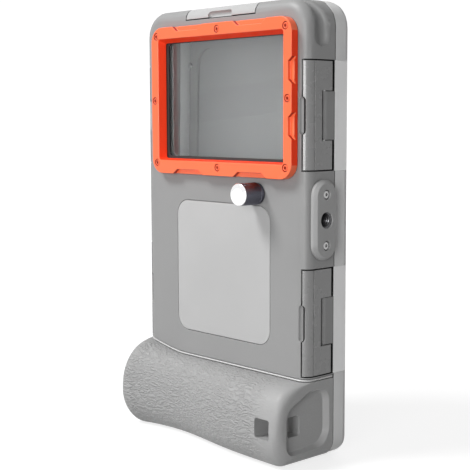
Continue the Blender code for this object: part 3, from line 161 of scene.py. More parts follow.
def turnedObject(name, centre, rows, axis="y", sides=36, hexRows=(), ring=False, sharp=30.0):
    # Rows of (radius, depth) turned about the axis; rows in hexRows are six-sided, their radius the corner's
    angle = np.linspace(0.0, fullTurn, sides, endpoint=False)
    sixth = math.pi / 3
    hexShape = math.cos(sixth / 2) / np.cos((angle % sixth) - sixth / 2)
    rings = []
    for k, (radius, depth) in enumerate(rows):
        r = radius * (hexShape if k in hexRows else np.ones(sides))
        flat = np.stack([centre[0] + r * np.cos(angle), centre[1] + r * np.sin(angle)], 1)
        rings.append(lift(flat, depth, axis))
    return gridObject(name, rings, closeRows=ring, closeColumns=True, caps=not ring, sharp=sharp)


def tubeObject(name, path, radius, sides):
    # A circle carried along a path, square to it, with one fixed direction for its zero angle
    ahead = np.gradient(path, axis=0)
    ahead /= np.linalg.norm(ahead, axis=1)[:, None]
    guide = np.eye(3)[int(np.argmin(path.max(0) - path.min(0)))]
    first = np.cross(ahead, guide)
    first /= np.linalg.norm(first, axis=1)[:, None]
    second = np.cross(ahead, first)
    angle = np.linspace(0.0, fullTurn, sides, endpoint=False)[None, :, None]
    rings = path[:, None, :] + radius * (np.cos(angle) * first[:, None, :] + np.sin(angle) * second[:, None, :])
    return closedObject(name, rings, sharp=60.0)


def filletedOutline(corners, radii, steps):
    # A polygon whose corners are arcs: each arc touches both sides at radius / tan(half the corner's angle)
    corners = np.asarray(corners, float)
    points, turns = [], []
    for k, radius in enumerate(radii):
        here = corners[k]
        back = corners[k - 1] - here
        ahead = corners[(k + 1) % len(corners)] - here
        back /= np.linalg.norm(back)
        ahead /= np.linalg.norm(ahead)
        half = math.acos(np.clip(back @ ahead, -1, 1)) / 2
        middle = back + ahead
        centre = here + middle / np.linalg.norm(middle) * radius / math.sin(half)
        start = here + back * radius / math.tan(half) - centre
        end = here + ahead * radius / math.tan(half) - centre
        first = math.atan2(start[1], start[0])
        sweep = (math.atan2(end[1], end[0]) - first + math.pi) % fullTurn - math.pi
        angle = first + sweep * np.linspace(0.0, 1.0, steps + 1)
        out = np.stack([np.cos(angle), np.sin(angle)], 1)
        points.append(centre + out * radius)
        turns.append(out)
    return np.concatenate(points), np.concatenate(turns)


def cutAndShade(item, tools, sharp, edge=0.0):
    # Takes the tools out of the piece, rounds its sharp edges where asked, applies both and sets the shading
    for tool in tools:
        step = item.modifiers.new("cut", "BOOLEAN")
        step.operation = "DIFFERENCE"
        step.solver = "EXACT"
        step.object = tool
    if edge > 0.0:
        step = item.modifiers.new("softEdge", "BEVEL")
        step.width = edge * mm
        step.segments = 2
        step.limit_method = "ANGLE"
        step.angle_limit = math.radians(40.0)
        step.use_clamp_overlap = True
    mesh = bpy.data.meshes.new_from_object(item.evaluated_get(bpy.context.evaluated_depsgraph_get()))
    old = item.data
    item.modifiers.clear()
    item.data = mesh
    mesh.name = item.name
    bpy.data.meshes.remove(old)
    for tool in tools:
        bpy.data.objects.remove(tool, do_unlink=True)
    mesh.shade_smooth()
    mesh.set_sharp_from_angle(angle=math.radians(sharp))
    item.modifiers.new("flatFaces", "WEIGHTED_NORMAL").keep_sharp = True


def finishPiece(item, material, replaced):
    item.data.materials.clear()
    item.data.materials.append(material)
    owner = next(body for body, members in frame["record"]["behaviour"]["bodies"].items() if replaced in members)
    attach(item, owner)
    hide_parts(replaced)


def faceCentres(item):
    # Middle of every face, in the part's own millimetres
    flat = np.zeros(len(item.data.polygons) * 3)
    item.data.polygons.foreach_get("center", flat)
    return (flat.reshape(-1, 3) - modelShift) / mm


def paintFaces(item, materials, index):
    # Adds the materials after the piece's own, and gives every face the one of its index
    for material in materials:
        item.data.materials.append(material)
    item.data.polygons.foreach_set("material_index", index.astype(np.int32))


def mergedCopy(node, name):
    # The CAD solid's own shape with its loose triangles joined, so that it can be shaded smooth
    mesh = nodes[node].data.copy()
    mesh.name = name
    data = bmesh.new()
    data.from_mesh(mesh)
    bmesh.ops.remove_doubles(data, verts=data.verts, dist=2e-7)
    bmesh.ops.dissolve_limit(data, angle_limit=math.radians(0.5), verts=data.verts, edges=data.edges)
    data.to_mesh(mesh)
    data.free()
    return linkedObject(name, mesh)


# Material helpers
def grey(level):
    return (level, level, level)


def fillInputs(tree, node, inputs):
    # Each input takes a value, or a link from a socket; a colour is given without its alpha
    for key, value in inputs.items():
        socket = node.inputs[key]
        if isinstance(value, bpy.types.NodeSocket):
            tree.links.new(value, socket)
        else:
            socket.default_value = (*value, 1.0) if socket.type == "RGBA" else value


def fillShader(tree, inputs):
    fillInputs(tree, tree.nodes["Principled BSDF"], inputs)


def addNode(tree, kind, inputs, **settings):
    node = tree.nodes.new("ShaderNode" + kind)
    for name, value in settings.items():
        setattr(node, name, value)
    fillInputs(tree, node, inputs)
    return node


def objectSpot(tree):
    return addNode(tree, "TexCoord", {}).outputs["Object"]


def noiseNode(tree, coordinate, scale, detail, roughness):
    inputs = {"Vector": coordinate, "Scale": scale, "Detail": detail, "Roughness": roughness}
    return addNode(tree, "TexNoise", inputs).outputs["Fac"]


def mathNode(tree, operation, *values, clamp=False):
    return addNode(tree, "Math", dict(enumerate(values)), operation=operation, use_clamp=clamp).outputs[0]


def vectorNode(tree, operation, inputs, output=0):
    return addNode(tree, "VectorMath", inputs, operation=operation).outputs[output]


def rangeNode(tree, value, low, high, outLow, outHigh):
    inputs = {"Value": value, "From Min": low, "From Max": high, "To Min": outLow, "To Max": outHigh}
    return addNode(tree, "MapRange", inputs, interpolation_type="SMOOTHSTEP").outputs["Result"]


def mixColour(tree, factor, first, second):
    # The mix node's colour sockets come after those for numbers and vectors
    return addNode(tree, "Mix", {0: factor, 6: first, 7: second}, data_type="RGBA").outputs[2]


def bumpNode(tree, height, distance, strength, others={}):
    inputs = {"Height": height, "Distance": distance, "Strength": strength, **others}
    return addNode(tree, "Bump", inputs).outputs["Normal"]


def newMaterial(name, colour, roughness, metallic=0.0):
    material = bpy.data.materials.new(name)
    material.use_nodes = True
    tree = material.node_tree
    plain = {"Base Color": colour, "Roughness": roughness, "Metallic": metallic}
    fillShader(tree, plain)
    return material, tree


def newGroup(name, inputs):
    # A node group with the given inputs that puts out a colour, a roughness and a normal
    group = bpy.data.node_groups.new(name, "ShaderNodeTree")
    for label, value in inputs.items():
        kind = "NodeSocketColor" if isinstance(value, tuple) else "NodeSocketFloat"
        socket = group.interface.new_socket(name=label, in_out="INPUT", socket_type=kind)
        socket.default_value = (*value, 1.0) if isinstance(value, tuple) else value
    for label, kind in (("Colour", "Color"), ("Roughness", "Float"), ("Normal", "Vector")):
        group.interface.new_socket(name=label, in_out="OUTPUT", socket_type="NodeSocket" + kind)
    return group, group.nodes.new("NodeGroupInput").outputs, group.nodes.new("NodeGroupOutput")


def useFinish(tree, finish, inputs):
    # The group's outputs feed the shader, next to its plain inputs
    outputs = {"Base Color": "Colour", "Roughness": "Roughness", "Normal": "Normal"}
    linked = {name: finish.outputs[output] for name, output in outputs.items()}
    fillShader(tree, {**linked, **inputs})


# Moulded plastic
plasticLook = {
    "speckleScale": 2600.0, "speckleHeight": 0.00008,
    "driftScale": 18.0, "driftTone": (0.965, 1.03),
    "patchScale": 140.0, "patchRoughness": (-0.03, 0.05),
    "edgeTurn": (0.995, 0.90), "edgeGaps": (0.35, 0.62, 0.25, 1.0),
    "coatRoughness": 0.12,
}


def mouldedGroup():
    # Fine speckle in height, a slow drift in tone, and a lighter line where the rounded normal leaves the face's: wear
    # along the edges together with a painted highlight on them
    look = plasticLook
    group, start, end = newGroup("mouldedFinish", {"Colour": grey(0.5), "Edge Colour": grey(0.7), "Roughness": 0.45,
                                                   "Speckle": 0.25, "Wear And Highlight": 0.3, "Edge Radius": 0.0004})
    spot = objectSpot(group)
    speckle = noiseNode(group, spot, look["speckleScale"], 2.0, 0.6)
    drift = noiseNode(group, spot, look["driftScale"], 3.0, 0.5)
    patch = noiseNode(group, spot, look["patchScale"], 3.0, 0.6)
    soft = addNode(group, "Bevel", {"Radius": start["Edge Radius"]}, samples=6).outputs["Normal"]
    faceNormal = addNode(group, "NewGeometry", {}).outputs["Normal"]
    edge = rangeNode(group, vectorNode(group, "DOT_PRODUCT", {0: soft, 1: faceNormal}, "Value"),
                     *look["edgeTurn"], 0.0, 1.0)
    broken = mathNode(group, "MULTIPLY", edge, rangeNode(group, patch, *look["edgeGaps"]))
    # Worn edges with a painted highlight along them, broken up by patches
    wornAndHighlit = mathNode(group, "MULTIPLY", broken, start["Wear And Highlight"], clamp=True)
    tone = rangeNode(group, drift, 0.3, 0.7, *look["driftTone"])
    toned = vectorNode(group, "SCALE", {0: start["Colour"], "Scale": tone})
    rougher = rangeNode(group, patch, 0.3, 0.7, *look["patchRoughness"])
    fillInputs(group, end, {
        "Colour": mixColour(group, wornAndHighlit, toned, start["Edge Colour"]),
        "Roughness": mathNode(group, "ADD", start["Roughness"], rougher, clamp=True),
        "Normal": bumpNode(group, speckle, look["speckleHeight"], start["Speckle"], {"Normal": soft})})
    return group


moulded = mouldedGroup()


def mouldedMaterial(name, colour, edgeColour, roughness, speckle, wearAndHighlight, edgeRadius, specular=0.5, coat=0.0):
    material, tree = newMaterial(name, colour, roughness)
    finish = addNode(tree, "Group", {
        "Colour": colour, "Edge Colour": edgeColour, "Roughness": roughness, "Speckle": speckle, "Wear And Highlight": wearAndHighlight,
        "Edge Radius": edgeRadius * mm}, node_tree=moulded, name="finish")
    useFinish(tree, finish, {"Specular IOR Level": specular, "Coat Weight": coat,
                             "Coat Roughness": plasticLook["coatRoughness"]})
    return material


# Some of these are painted light and shade: the pale door strip by the latches, the paler top latch, the near-black
# gap shade, the shaded and deeper oranges and the leather's crease shade
colours = {
    "housing": grey(0.265), "door": grey(0.70), "doorLitStrip": grey(0.93), "latch": grey(0.22),
    "topLatch": grey(0.43), "shadowGap": grey(0.012), "plate": grey(0.33), "panel": grey(0.43), "inner": grey(0.26),
    "grip": grey(0.33), "gripCreaseShade": grey(0.05), "piping": grey(0.58), "seal": (0.02, 0.02, 0.021),
    "pad": (0.06, 0.06, 0.062), "orange": (1.0, 0.155, 0.05), "orangeShade": (0.42, 0.022, 0.004),
    "orangeDeepShade": (1.0, 0.055, 0.012), "film": grey(0.27),
}
# Colour, colour of the worn edges with their painted highlight, roughness, speckle, wear with painted highlight, and
# the width of that edge
housingGrey = mouldedMaterial("housingGrey", colours["housing"], grey(0.50), 0.46, 0.30, 0.25, 0.45)
doorGrey = mouldedMaterial("doorGrey", colours["door"], grey(0.72), 0.42, 0.25, 0.25, 0.45)
latchGrey = mouldedMaterial("latchGrey", colours["latch"], grey(0.75), 0.26, 0.02, 0.25, 0.3, coat=0.4)
# The top latch is a paler copy of the latch grey: painted light from above
topLatchPaintedLight = mouldedMaterial("topLatchPaintedLight", colours["topLatch"], grey(0.85), 0.22, 0.10, 0.4, 0.3, coat=0.4)
plateGrey = mouldedMaterial("plateGrey", colours["plate"], grey(0.58), 0.42, 0.55, 0.35, 0.3)
panelGrey = mouldedMaterial("panelGrey", colours["panel"], grey(0.62), 0.38, 0.18, 0.2, 0.25)
windowOrange = mouldedMaterial("windowOrange", colours["orange"], (1.0, 0.36, 0.18), 0.34, 0.10, 0.35, 0.35,
                               coat=0.2)
# Shaded copies of the orange, as painted shade on the notch slopes, the screw wells, the jambs and the outer walls
windowShade = mouldedMaterial("windowShade", colours["orangeShade"], (0.60, 0.05, 0.012), 0.4, 0.10, 0.2, 0.2)
windowDeepShade = mouldedMaterial("windowDeepShade", colours["orangeDeepShade"], (1.0, 0.12, 0.04), 0.5, 0.10, 0.2, 0.2,
                             specular=0.2)
innerGrey = mouldedMaterial("innerGrey", colours["inner"], grey(0.3), 0.5, 0.2, 0.1, 0.2)
pipingGrey = mouldedMaterial("pipingGrey", colours["piping"], grey(0.68), 0.45, 0.05, 0.1, 0.1)
sealBlack = mouldedMaterial("sealBlack", colours["seal"], grey(0.05), 0.55, 0.2, 0.1, 0.1)
padSilicone = mouldedMaterial("padSilicone", colours["pad"], grey(0.10), 0.62, 0.3, 0.1, 0.3)

# Painted shadow in the gaps round the latches and between the two halves
latchPocket = {
    "half": 23.62, "side": 54.5, "top": 200.0, "topDepth": 5.45,
    "rightZ": (150.511, 61.689), "leftZ": (151.211, 65.689),
    "gapShadeDepth": 3.33, "litStripDepth": 1.0, "lugDepth": 9.0, "jointY": 17.78, "lugY": 17.45,
    "seamY": 17.55, "seamHalf": 0.22, "seamSide": 52.5, "seamMiddleZ": 100.0, "seamEndZ": 98.0,
}


def objectAxes(tree):
    centred = vectorNode(tree, "SUBTRACT", {0: objectSpot(tree), 1: tuple(modelShift)})
    return addNode(tree, "SeparateXYZ", {0: centred}).outputs[:]


def within(tree, value, middle, half):
    # 1 where the value is less than half away from the middle
    return mathNode(tree, "COMPARE", value, middle * mm, half * mm)


def beyond(tree, value, limit):
    return mathNode(tree, "GREATER_THAN", value, limit * mm)


def besideLatches(tree, axes, depth):
    # 1 in the five boxes that the latch pockets take out of the shell, down to the given depth
    p = latchPocket
    x, y, z = axes
    flank = beyond(tree, mathNode(tree, "ABSOLUTE", x), p["side"] - depth)
    right = beyond(tree, x, 0.0)
    rightSpans = mathNode(tree, "MAXIMUM", *[within(tree, z, middle, p["half"]) for middle in p["rightZ"]])
    leftSpans = mathNode(tree, "MAXIMUM", *[within(tree, z, middle, p["half"]) for middle in p["leftZ"]])
    left = mathNode(tree, "SUBTRACT", 1.0, right)
    spans = mathNode(tree, "ADD", mathNode(tree, "MULTIPLY", right, rightSpans),
                     mathNode(tree, "MULTIPLY", left, leftSpans))
    top = mathNode(tree, "MULTIPLY", within(tree, x, 0.0, p["half"]),
                   beyond(tree, z, p["top"] - max(depth, p["topDepth"])))
    return mathNode(tree, "MAXIMUM", mathNode(tree, "MULTIPLY", flank, spans), top)


def seam(tree, axes):
    # 1 in the outer two millimetres of the joint between the housing and the door
    p = latchPocket
    x, y, z = axes
    flank = beyond(tree, mathNode(tree, "ABSOLUTE", x), p["seamSide"])
    fromMiddle = mathNode(tree, "ABSOLUTE", mathNode(tree, "SUBTRACT", z, p["seamMiddleZ"] * mm))
    ends = beyond(tree, fromMiddle, p["seamEndZ"])
    return mathNode(tree, "MULTIPLY", within(tree, y, p["seamY"], p["seamHalf"]),
                    mathNode(tree, "MAXIMUM", flank, ends))


def shadeHousingGaps():
    # The latch pockets and the outer joint are painted near black as painted shade, so that the joints round the
    # latches read as shadow gaps
    tree = housingGrey.node_tree
    axes = objectAxes(tree)
    paintedShade = mathNode(tree, "MAXIMUM", besideLatches(tree, axes, latchPocket["gapShadeDepth"]), seam(tree, axes))
    gapShaded = mixColour(tree, paintedShade, colours["housing"], colours["shadowGap"])
    fillInputs(tree, tree.nodes["finish"], {"Colour": gapShaded})


def paintDoorLightAndShade():
    # The door is painted paler where a latch lies beside it, as painted light on that strip; its lugs match the
    # latches and its joint face is painted near black as shade in the gap
    p = latchPocket
    tree = doorGrey.node_tree
    axes = objectAxes(tree)
    colour = mixColour(tree, besideLatches(tree, axes, p["litStripDepth"]), colours["door"], colours["doorLitStrip"])
    # Painted shade on the door's joint face and along the seam
    joint = mathNode(tree, "MULTIPLY", besideLatches(tree, axes, p["lugDepth"]),
                     mathNode(tree, "LESS_THAN", axes[1], p["jointY"] * mm))
    joint = mathNode(tree, "MAXIMUM", joint, seam(tree, axes))
    colour = mixColour(tree, joint, colour, colours["shadowGap"])
    lug = mathNode(tree, "LESS_THAN", axes[1], p["lugY"] * mm)
    fillInputs(tree, tree.nodes["finish"], {"Colour": mixColour(tree, lug, colour, colours["latch"])})


shadeHousingGaps()
paintDoorLightAndShade()

# Grip leather
leatherLook = {
    "flowTurn": (0.0, 0.12, 0.0), "flowStretch": (0.45, 1.0, 1.2), "swirlScale": 210.0, "swirl": 0.0012,
    "foldWidth": 0.16, "poreScale": 2600.0, "poreDepth": 0.3, "height": 0.0004, "foldShade": 0.08,
    "foldRoughness": (0.62, 0.48), "depth": 0.9, "rippleSize": 590.0, "roughness": 0.6,
    "fadeX": (34.5, 48.5), "smoothShare": 0.06, "tunnelX": 45.1, "tunnelZ": 17.6, "tunnelHalf": 4.45,
    "sheen": 0.12, "sheenRoughness": 0.5,
}


def leatherGroup():
    # Leather grain: ridges of a stretched, swirled noise run along the grip, with pores between them; the creases
    # between the ridges are painted in shade
    look = leatherLook
    group, start, end = newGroup("leatherGrain", {
        "Colour": grey(0.5), "Depth": 0.5, "Ripple Size": 300.0, "Mask": 1.0})
    spot = objectSpot(group)
    flow = addNode(group, "Mapping", {"Vector": spot, "Rotation": look["flowTurn"], "Scale": look["flowStretch"]})
    swirl = addNode(group, "TexNoise", {"Vector": flow.outputs[0], "Scale": look["swirlScale"], "Detail": 2.0})
    swirled = {0: swirl.outputs["Color"], 1: (look["swirl"],) * 3, 2: flow.outputs[0]}
    bent = vectorNode(group, "MULTIPLY_ADD", swirled)
    wrinkle = noiseNode(group, bent, start["Ripple Size"], 2.0, 0.45)
    ridge = mathNode(group, "ABSOLUTE", mathNode(group, "SUBTRACT", wrinkle, 0.5))
    folds = rangeNode(group, ridge, 0.0, look["foldWidth"], 0.0, 1.0)
    pores = mathNode(group, "MULTIPLY", noiseNode(group, spot, look["poreScale"], 2.0, 0.6), look["poreDepth"])
    height = mathNode(group, "MULTIPLY", mathNode(group, "ADD", folds, pores), start["Mask"])
    paintedShade = mathNode(group, "MULTIPLY", mathNode(group, "SUBTRACT", 1.0, folds, clamp=True),
                    mathNode(group, "MULTIPLY", start["Mask"], look["foldShade"]))
    fillInputs(group, end, {
        "Colour": mixColour(group, paintedShade, start["Colour"], colours["gripCreaseShade"]),
        "Roughness": rangeNode(group, folds, 0.0, 1.0, *look["foldRoughness"]),
        "Normal": bumpNode(group, height, look["height"], start["Depth"])})
    return group


def leatherMaterial():
    # The grain fades out before the smooth right end, and there is none inside the lanyard tunnel
    look = leatherLook
    material, tree = newMaterial("gripLeather", colours["grip"], look["roughness"])
    x, y, z = objectAxes(tree)
    fadeLow, fadeHigh = look["fadeX"]
    along = rangeNode(tree, x, fadeLow * mm, fadeHigh * mm, 1.0, look["smoothShare"])
    tunnel = mathNode(tree, "MULTIPLY", within(tree, x, look["tunnelX"], look["tunnelHalf"]),
                      within(tree, z, look["tunnelZ"], look["tunnelHalf"]))
    mask = mathNode(tree, "MULTIPLY", along, mathNode(tree, "SUBTRACT", 1.0, tunnel))
    grain = addNode(tree, "Group", {"Colour": colours["grip"], "Depth": look["depth"],
                                    "Ripple Size": look["rippleSize"], "Mask": mask}, node_tree=leatherGroup())
    useFinish(tree, grain, {"Sheen Weight": look["sheen"], "Sheen Roughness": look["sheenRoughness"]})
    return material


gripLeather = leatherMaterial()

# Metal, glass and film
metalLook = {"smudgeScale": 320.0, "smudgeRoughness": (0.8, 1.35), "stretch": (1.0, 14.0, 1.0),
             "markScale": 1500.0, "markHeight": 0.00003}
glassLook = {"tint": (0.96, 0.98, 0.98), "refraction": 1.45, "hazeScale": 60.0, "haze": (0.01, 0.05)}
filmLook = {"cloudScale": 35.0, "roughness": (0.34, 0.44), "fineScale": 2200.0, "fineHeight": 0.00001,
            "fineDepth": 0.05}


def metalMaterial(name, colour, roughness, brushed):
    # Machined metal: fine turning marks as a stretched noise in height, and faint smudges in the roughness
    look = metalLook
    material, tree = newMaterial(name, colour, roughness, 1.0)
    spot = objectSpot(tree)
    smudge = noiseNode(tree, spot, look["smudgeScale"], 3.0, 0.6)
    stretched = addNode(tree, "Mapping", {"Vector": spot, "Scale": look["stretch"]}).outputs[0]
    marks = noiseNode(tree, stretched, look["markScale"], 2.0, 0.5)
    fillShader(tree, {
        "Roughness": rangeNode(tree, smudge, 0.3, 0.75, *[roughness * share for share in look["smudgeRoughness"]]),
        "Normal": bumpNode(tree, marks, look["markHeight"], brushed)})
    return material


def glassMaterial():
    look = glassLook
    material, tree = newMaterial("windowGlass", look["tint"], 0.02)
    haze = noiseNode(tree, objectSpot(tree), look["hazeScale"], 4.0, 0.6)
    fillShader(tree, {
        "Transmission Weight": 1.0, "IOR": look["refraction"],
        "Roughness": rangeNode(tree, haze, 0.35, 0.75, *look["haze"])})
    return material


def filmMaterial():
    # The touch film: smoky, slightly milky elastomer that dims what is behind it
    look = filmLook
    material, tree = newMaterial("touchFilm", colours["film"], 0.38)
    spot = objectSpot(tree)
    cloud = noiseNode(tree, spot, look["cloudScale"], 4.0, 0.55)
    fine = noiseNode(tree, spot, look["fineScale"], 2.0, 0.5)
    fillShader(tree, {
        "Roughness": rangeNode(tree, cloud, 0.3, 0.7, *look["roughness"]),
        "Normal": bumpNode(tree, fine, look["fineHeight"], look["fineDepth"])})
    return material


knobFace = metalMaterial("knobFace", (0.93, 0.93, 0.94), 0.10, 0.10)
knobFlank = metalMaterial("knobFlank", (0.13, 0.13, 0.16), 0.20, 0.05)
screwSteel = metalMaterial("screwSteel", grey(0.40), 0.28, 0.3)
pinSteel = metalMaterial("pinSteel", (0.62, 0.62, 0.63), 0.28, 0.4)
insertBlack = metalMaterial("insertBlack", (0.10, 0.10, 0.105), 0.34, 0.3)
windowGlass = glassMaterial()
touchFilm = filmMaterial()
print("materials made")

# Housing and door, from the CAD solids. The housing gets a shallow step in its rear face, y and z from corner
# to corner, for the top latch's tip
topLatchStep = {"corners": (-3.0, 194.6, 2.6, 197.2), "half": 23.5}
shells = {"rear_housing": ("housingShell", housingGrey), "front_door": ("doorShell", doorGrey)}
for node, (name, material) in shells.items():
    shell = mergedCopy(node, name)
    tools, half = [], topLatchStep["half"]
    if node == "rear_housing":
        tools = [boxObject("topLatchRoom", topLatchStep["corners"], -half, half, "x")]
    cutAndShade(shell, tools, 32.0)
    finishPiece(shell, material, node)
print("shells made")

# Camera window
windowFrame = {
    "halfWidth": 47.0, "low": 123.5, "high": 192.1, "corner": 7.0, "cornerSteps": 12, "centreX": 2.5, "centreZ": 157.8,
    "back": -0.3, "front": -4.1, "ledge": -2.4, "notchInset": 2.2, "edge": 0.4, "lip": 0.3,
    "wallDepths": (-0.9, -1.2, -1.5, -1.8, -2.1, -2.5), "ledgeRound": 0.12, "fillet": 0.15,
    "innerHalf": 42.0, "innerLow": 129.8, "innerHigh": 186.6, "innerCorner": 1.2,
    "backHalf": 40.5, "backLow": 130.6, "backHigh": 184.9, "sharp": 28.0,
    "flankNotch": (6.0, 17.4), "flankSlope": 1.9, "railNotch": (10.3, 31.7), "railSlope": 3.0,
}
framePaint = {"margin": 0.1, "ramp": 0.3, "wall": 0.05, "wellRadius": 1.9, "wellDepth": 0.03}
windowPane = {"centreX": 2.5, "half": 42.7, "low": 129.1, "high": 187.3, "corner": 3.7, "cornerSteps": 8,
              "back": 4.1, "face": 1.1, "edge": 0.25, "backEdge": 0.25}
screwCentres = [(-40.8, 188.0), (2.5, 189.2), (45.8, 188.0), (47.0, 157.8), (45.8, 128.5), (2.5, 127.3),
                (-40.8, 128.5), (-42.0, 157.8)]
# Sizes from the head's face inwards; a well and a ring are rows of radius and depth
frameWell = ((0.9, 2.0), (0.9, -2.6), (1.65, -2.6), (1.65, -3.95), (1.95, -4.3))
frameScrew = {"radius": 1.35, "face": -4.0, "inwards": 1.0, "height": 1.1, "rim": 0.18, "shank": 0.7, "length": 6.0,
              "ring": ((0.98, 0.0), (0.93, 0.12), (0.78, 0.12), (0.73, 0.0)), "ringShade": (0.76, 0.95, 0.2),
              "socket": 0.6, "socketDepth": 0.6, "socketTip": 0.05}


def notchAmount(along, spans, slope):
    # 1 inside a notch, 0 outside, with a straight ramp of the given length at each end
    amount = np.zeros_like(along)
    for low, high in spans:
        ramp = np.minimum((along - low) / slope, (high - along) / slope)
        amount = np.maximum(amount, np.clip(ramp, 0.0, 1.0))
    return amount


def bothWays(pair, middle=0.0):
    low, high = pair
    return [(middle - high, middle - low), (middle + low, middle + high)]


def rampEnds(spans, slope):
    return [end for low, high in spans for end in (low, low + slope, high - slope, high)]


def makeWindowFrame():
    # Rings round the opening: the outer wall and face step back inside the notches, and the jambs lean inwards
    w = windowFrame
    back, front, ledge, edge, cut, fillet = [w[k] for k in ("back", "front", "ledge", "edge", "notchInset", "fillet")]
    flankSpans = bothWays(w["flankNotch"], w["centreZ"])
    railSpans = bothWays(w["railNotch"])
    z0, z1 = w["low"] + w["corner"], w["high"] - w["corner"]
    x1 = w["halfWidth"] - w["corner"]
    steps = (w["cornerSteps"], [(z - z0) / (z1 - z0) for z in rampEnds(flankSpans, w["flankSlope"])],
             [(x + x1) / (2 * x1) for x in rampEnds(railSpans, w["railSlope"])])
    outer, outward = roundedRect(w["halfWidth"], w["low"], w["high"], w["corner"], *steps)
    inner, inward = roundedRect(w["innerHalf"], w["innerLow"], w["innerHigh"], w["innerCorner"], *steps)
    far = roundedRect(w["backHalf"], w["backLow"], w["backHigh"], w["innerCorner"], *steps)[0]
    onRight, onRail = outward[:, 0] > 0.999, np.abs(outward[:, 1]) > 0.999
    notch = np.where(onRight, notchAmount(outer[:, 1], flankSpans, w["flankSlope"]), 0.0)
    notch = np.where(onRail, notchAmount(outer[:, 0], railSpans, w["railSlope"]), notch)
    plain = [(0.0, depth) for depth in (back, *w["wallDepths"])] + quarterRound(0.0, front, edge, edge)
    notched = [(0.0, back), (0.0, ledge + edge), (w["ledgeRound"], ledge + w["ledgeRound"]), (edge, ledge),
               (cut - fillet, ledge), (cut - fillet / 5, ledge - fillet / 3), (cut, ledge - fillet)]
    notched += quarterRound(cut, front, edge, edge)
    rings = [lift(outer - outward * (insetA + (insetB - insetA) * notch)[:, None], yA + (yB - yA) * notch, "y")
             for (insetA, yA), (insetB, yB) in zip(plain, notched)]
    innerRows = quarterRound(0.0, front, edge, edge)[::-1]
    rings += [lift(inner + inward * inset, depth, "y") for inset, depth in innerRows]
    rings += [lift(far, back - w["lip"], "y"), lift(far, back, "y")]
    item = gridObject("windowFrame", np.array(rings) + (w["centreX"], 0.0, 0.0), closeRows=True, closeColumns=True,
                      sharp=w["sharp"])
    cutAndShade(item, [turnedObject("well", centre, frameWell) for centre in screwCentres], w["sharp"])
    finishPiece(item, windowOrange, "window_bezel")
    paintWindowFrame(item)


def screwDistance(points):
    # From each point to the nearest screw's axis
    return np.linalg.norm(points[:, None, [0, 2]] - np.array(screwCentres), axis=2).min(1)


def onRamp(distance, notch, slope):
    # Whether a point lies on one of the two ramps of a notch, its distance taken from the middle of that side
    middles = (notch[0] + slope / 2, notch[1] - slope / 2)
    return np.any([np.abs(distance - middle) < slope / 2 for middle in middles], axis=0)


def paintWindowFrame(item):
    # Painted shade: a deeper orange inside the opening and on the outer walls, and the shaded orange on the notch
    # slopes and in the well by each screw
    w, margin = windowFrame, framePaint["margin"]
    points = faceCentres(item)
    across, depth, up = (points - np.array([w["centreX"], 0.0, w["centreZ"]])).T
    z = points[:, 2]
    behindFace = depth > w["front"] + w["edge"]
    deepShade = behindFace & (np.abs(across) < w["innerHalf"] + margin)
    deepShade &= (z > w["innerLow"] - margin) & (z < w["innerHigh"] + margin)
    deepShade |= np.abs(across) > w["halfWidth"] - framePaint["wall"]
    deepShade |= np.abs(up) > (w["high"] - w["low"]) / 2 - framePaint["wall"]
    reach = w["notchInset"] + framePaint["ramp"]
    nearRail = np.minimum(np.abs(z - w["low"]), np.abs(z - w["high"])) < reach
    nearFlank = (np.abs(across - w["halfWidth"]) < reach) & (across > 0)
    shaded = nearRail & onRamp(np.abs(across), w["railNotch"], w["railSlope"])
    shaded |= nearFlank & onRamp(np.abs(up), w["flankNotch"], w["flankSlope"])
    shaded &= behindFace & (depth < w["ledge"] + margin)
    shaded |= (screwDistance(points) < framePaint["wellRadius"]) & (depth > w["front"] + framePaint["wellDepth"])
    paintFaces(item, (windowShade, windowDeepShade), np.where(shaded, 1, np.where(deepShade, 2, 0)))


def screwObject(name, centre, s, axis="y"):
    # Rows of (radius, depth): shank, underside, rounded rim, rings in the face, and a six-sided socket
    face, way = s["face"], s["inwards"]
    rows = [(s["shank"], face + way * s["length"]), (s["shank"], face + way * s["height"]),
            (s["radius"], face + way * s["height"])]
    rows += quarterRound(s["radius"], face, -s["rim"], way * s["rim"])
    rows += [(radius, face + way * depth) for radius, depth in s["ring"]]
    rows += [(s["socket"], face), (s["socket"], face + way * s["socketDepth"]),
             (0.05, face + way * (s["socketDepth"] + s["socketTip"]))]
    return turnedObject(name, centre, rows, axis, hexRows=(len(rows) - 3, len(rows) - 2))


def makeFrameScrews():
    s = frameScrew
    ringLow, ringHigh, ringDepth = s["ringShade"]
    for number, centre in enumerate(screwCentres, 1):
        screw = screwObject(f"frameScrew{number}", centre, s)
        finishPiece(screw, windowOrange, f"bezel_screw_{number}")
        # The socket and the ring in each head are painted in the shaded orange as painted shade
        points = faceCentres(screw)
        radial = screwDistance(points)
        inRing = (radial > ringLow) & (radial < ringHigh) & (points[:, 1] < s["face"] + ringDepth)
        paintFaces(screw, (windowShade,), (radial < s["socket"] + 0.05) | inRing)


def flatPlate(name, p):
    outline, outward = placedRect(p["centreX"], p["half"], p["low"], p["high"], p["corner"], p["cornerSteps"])
    return plateObject(name, outline, outward, roundedEdge(p["back"], p["face"], p["edge"], p["backEdge"]))


makeWindowFrame()
makeFrameScrews()
finishPiece(flatPlate("windowPane", windowPane), windowGlass, "window_glass")
print("window made")

# Label panel, left bare
labelPanel = {"centreX": 1.0, "half": 31.5, "low": 49.0, "high": 111.0, "corner": 7.0, "cornerSteps": 14,
              "back": 0.7, "face": -0.1, "edge": 0.25, "backEdge": 0.1}
finishPiece(flatPlate("labelPanel", labelPanel), panelGrey, "label_panel")

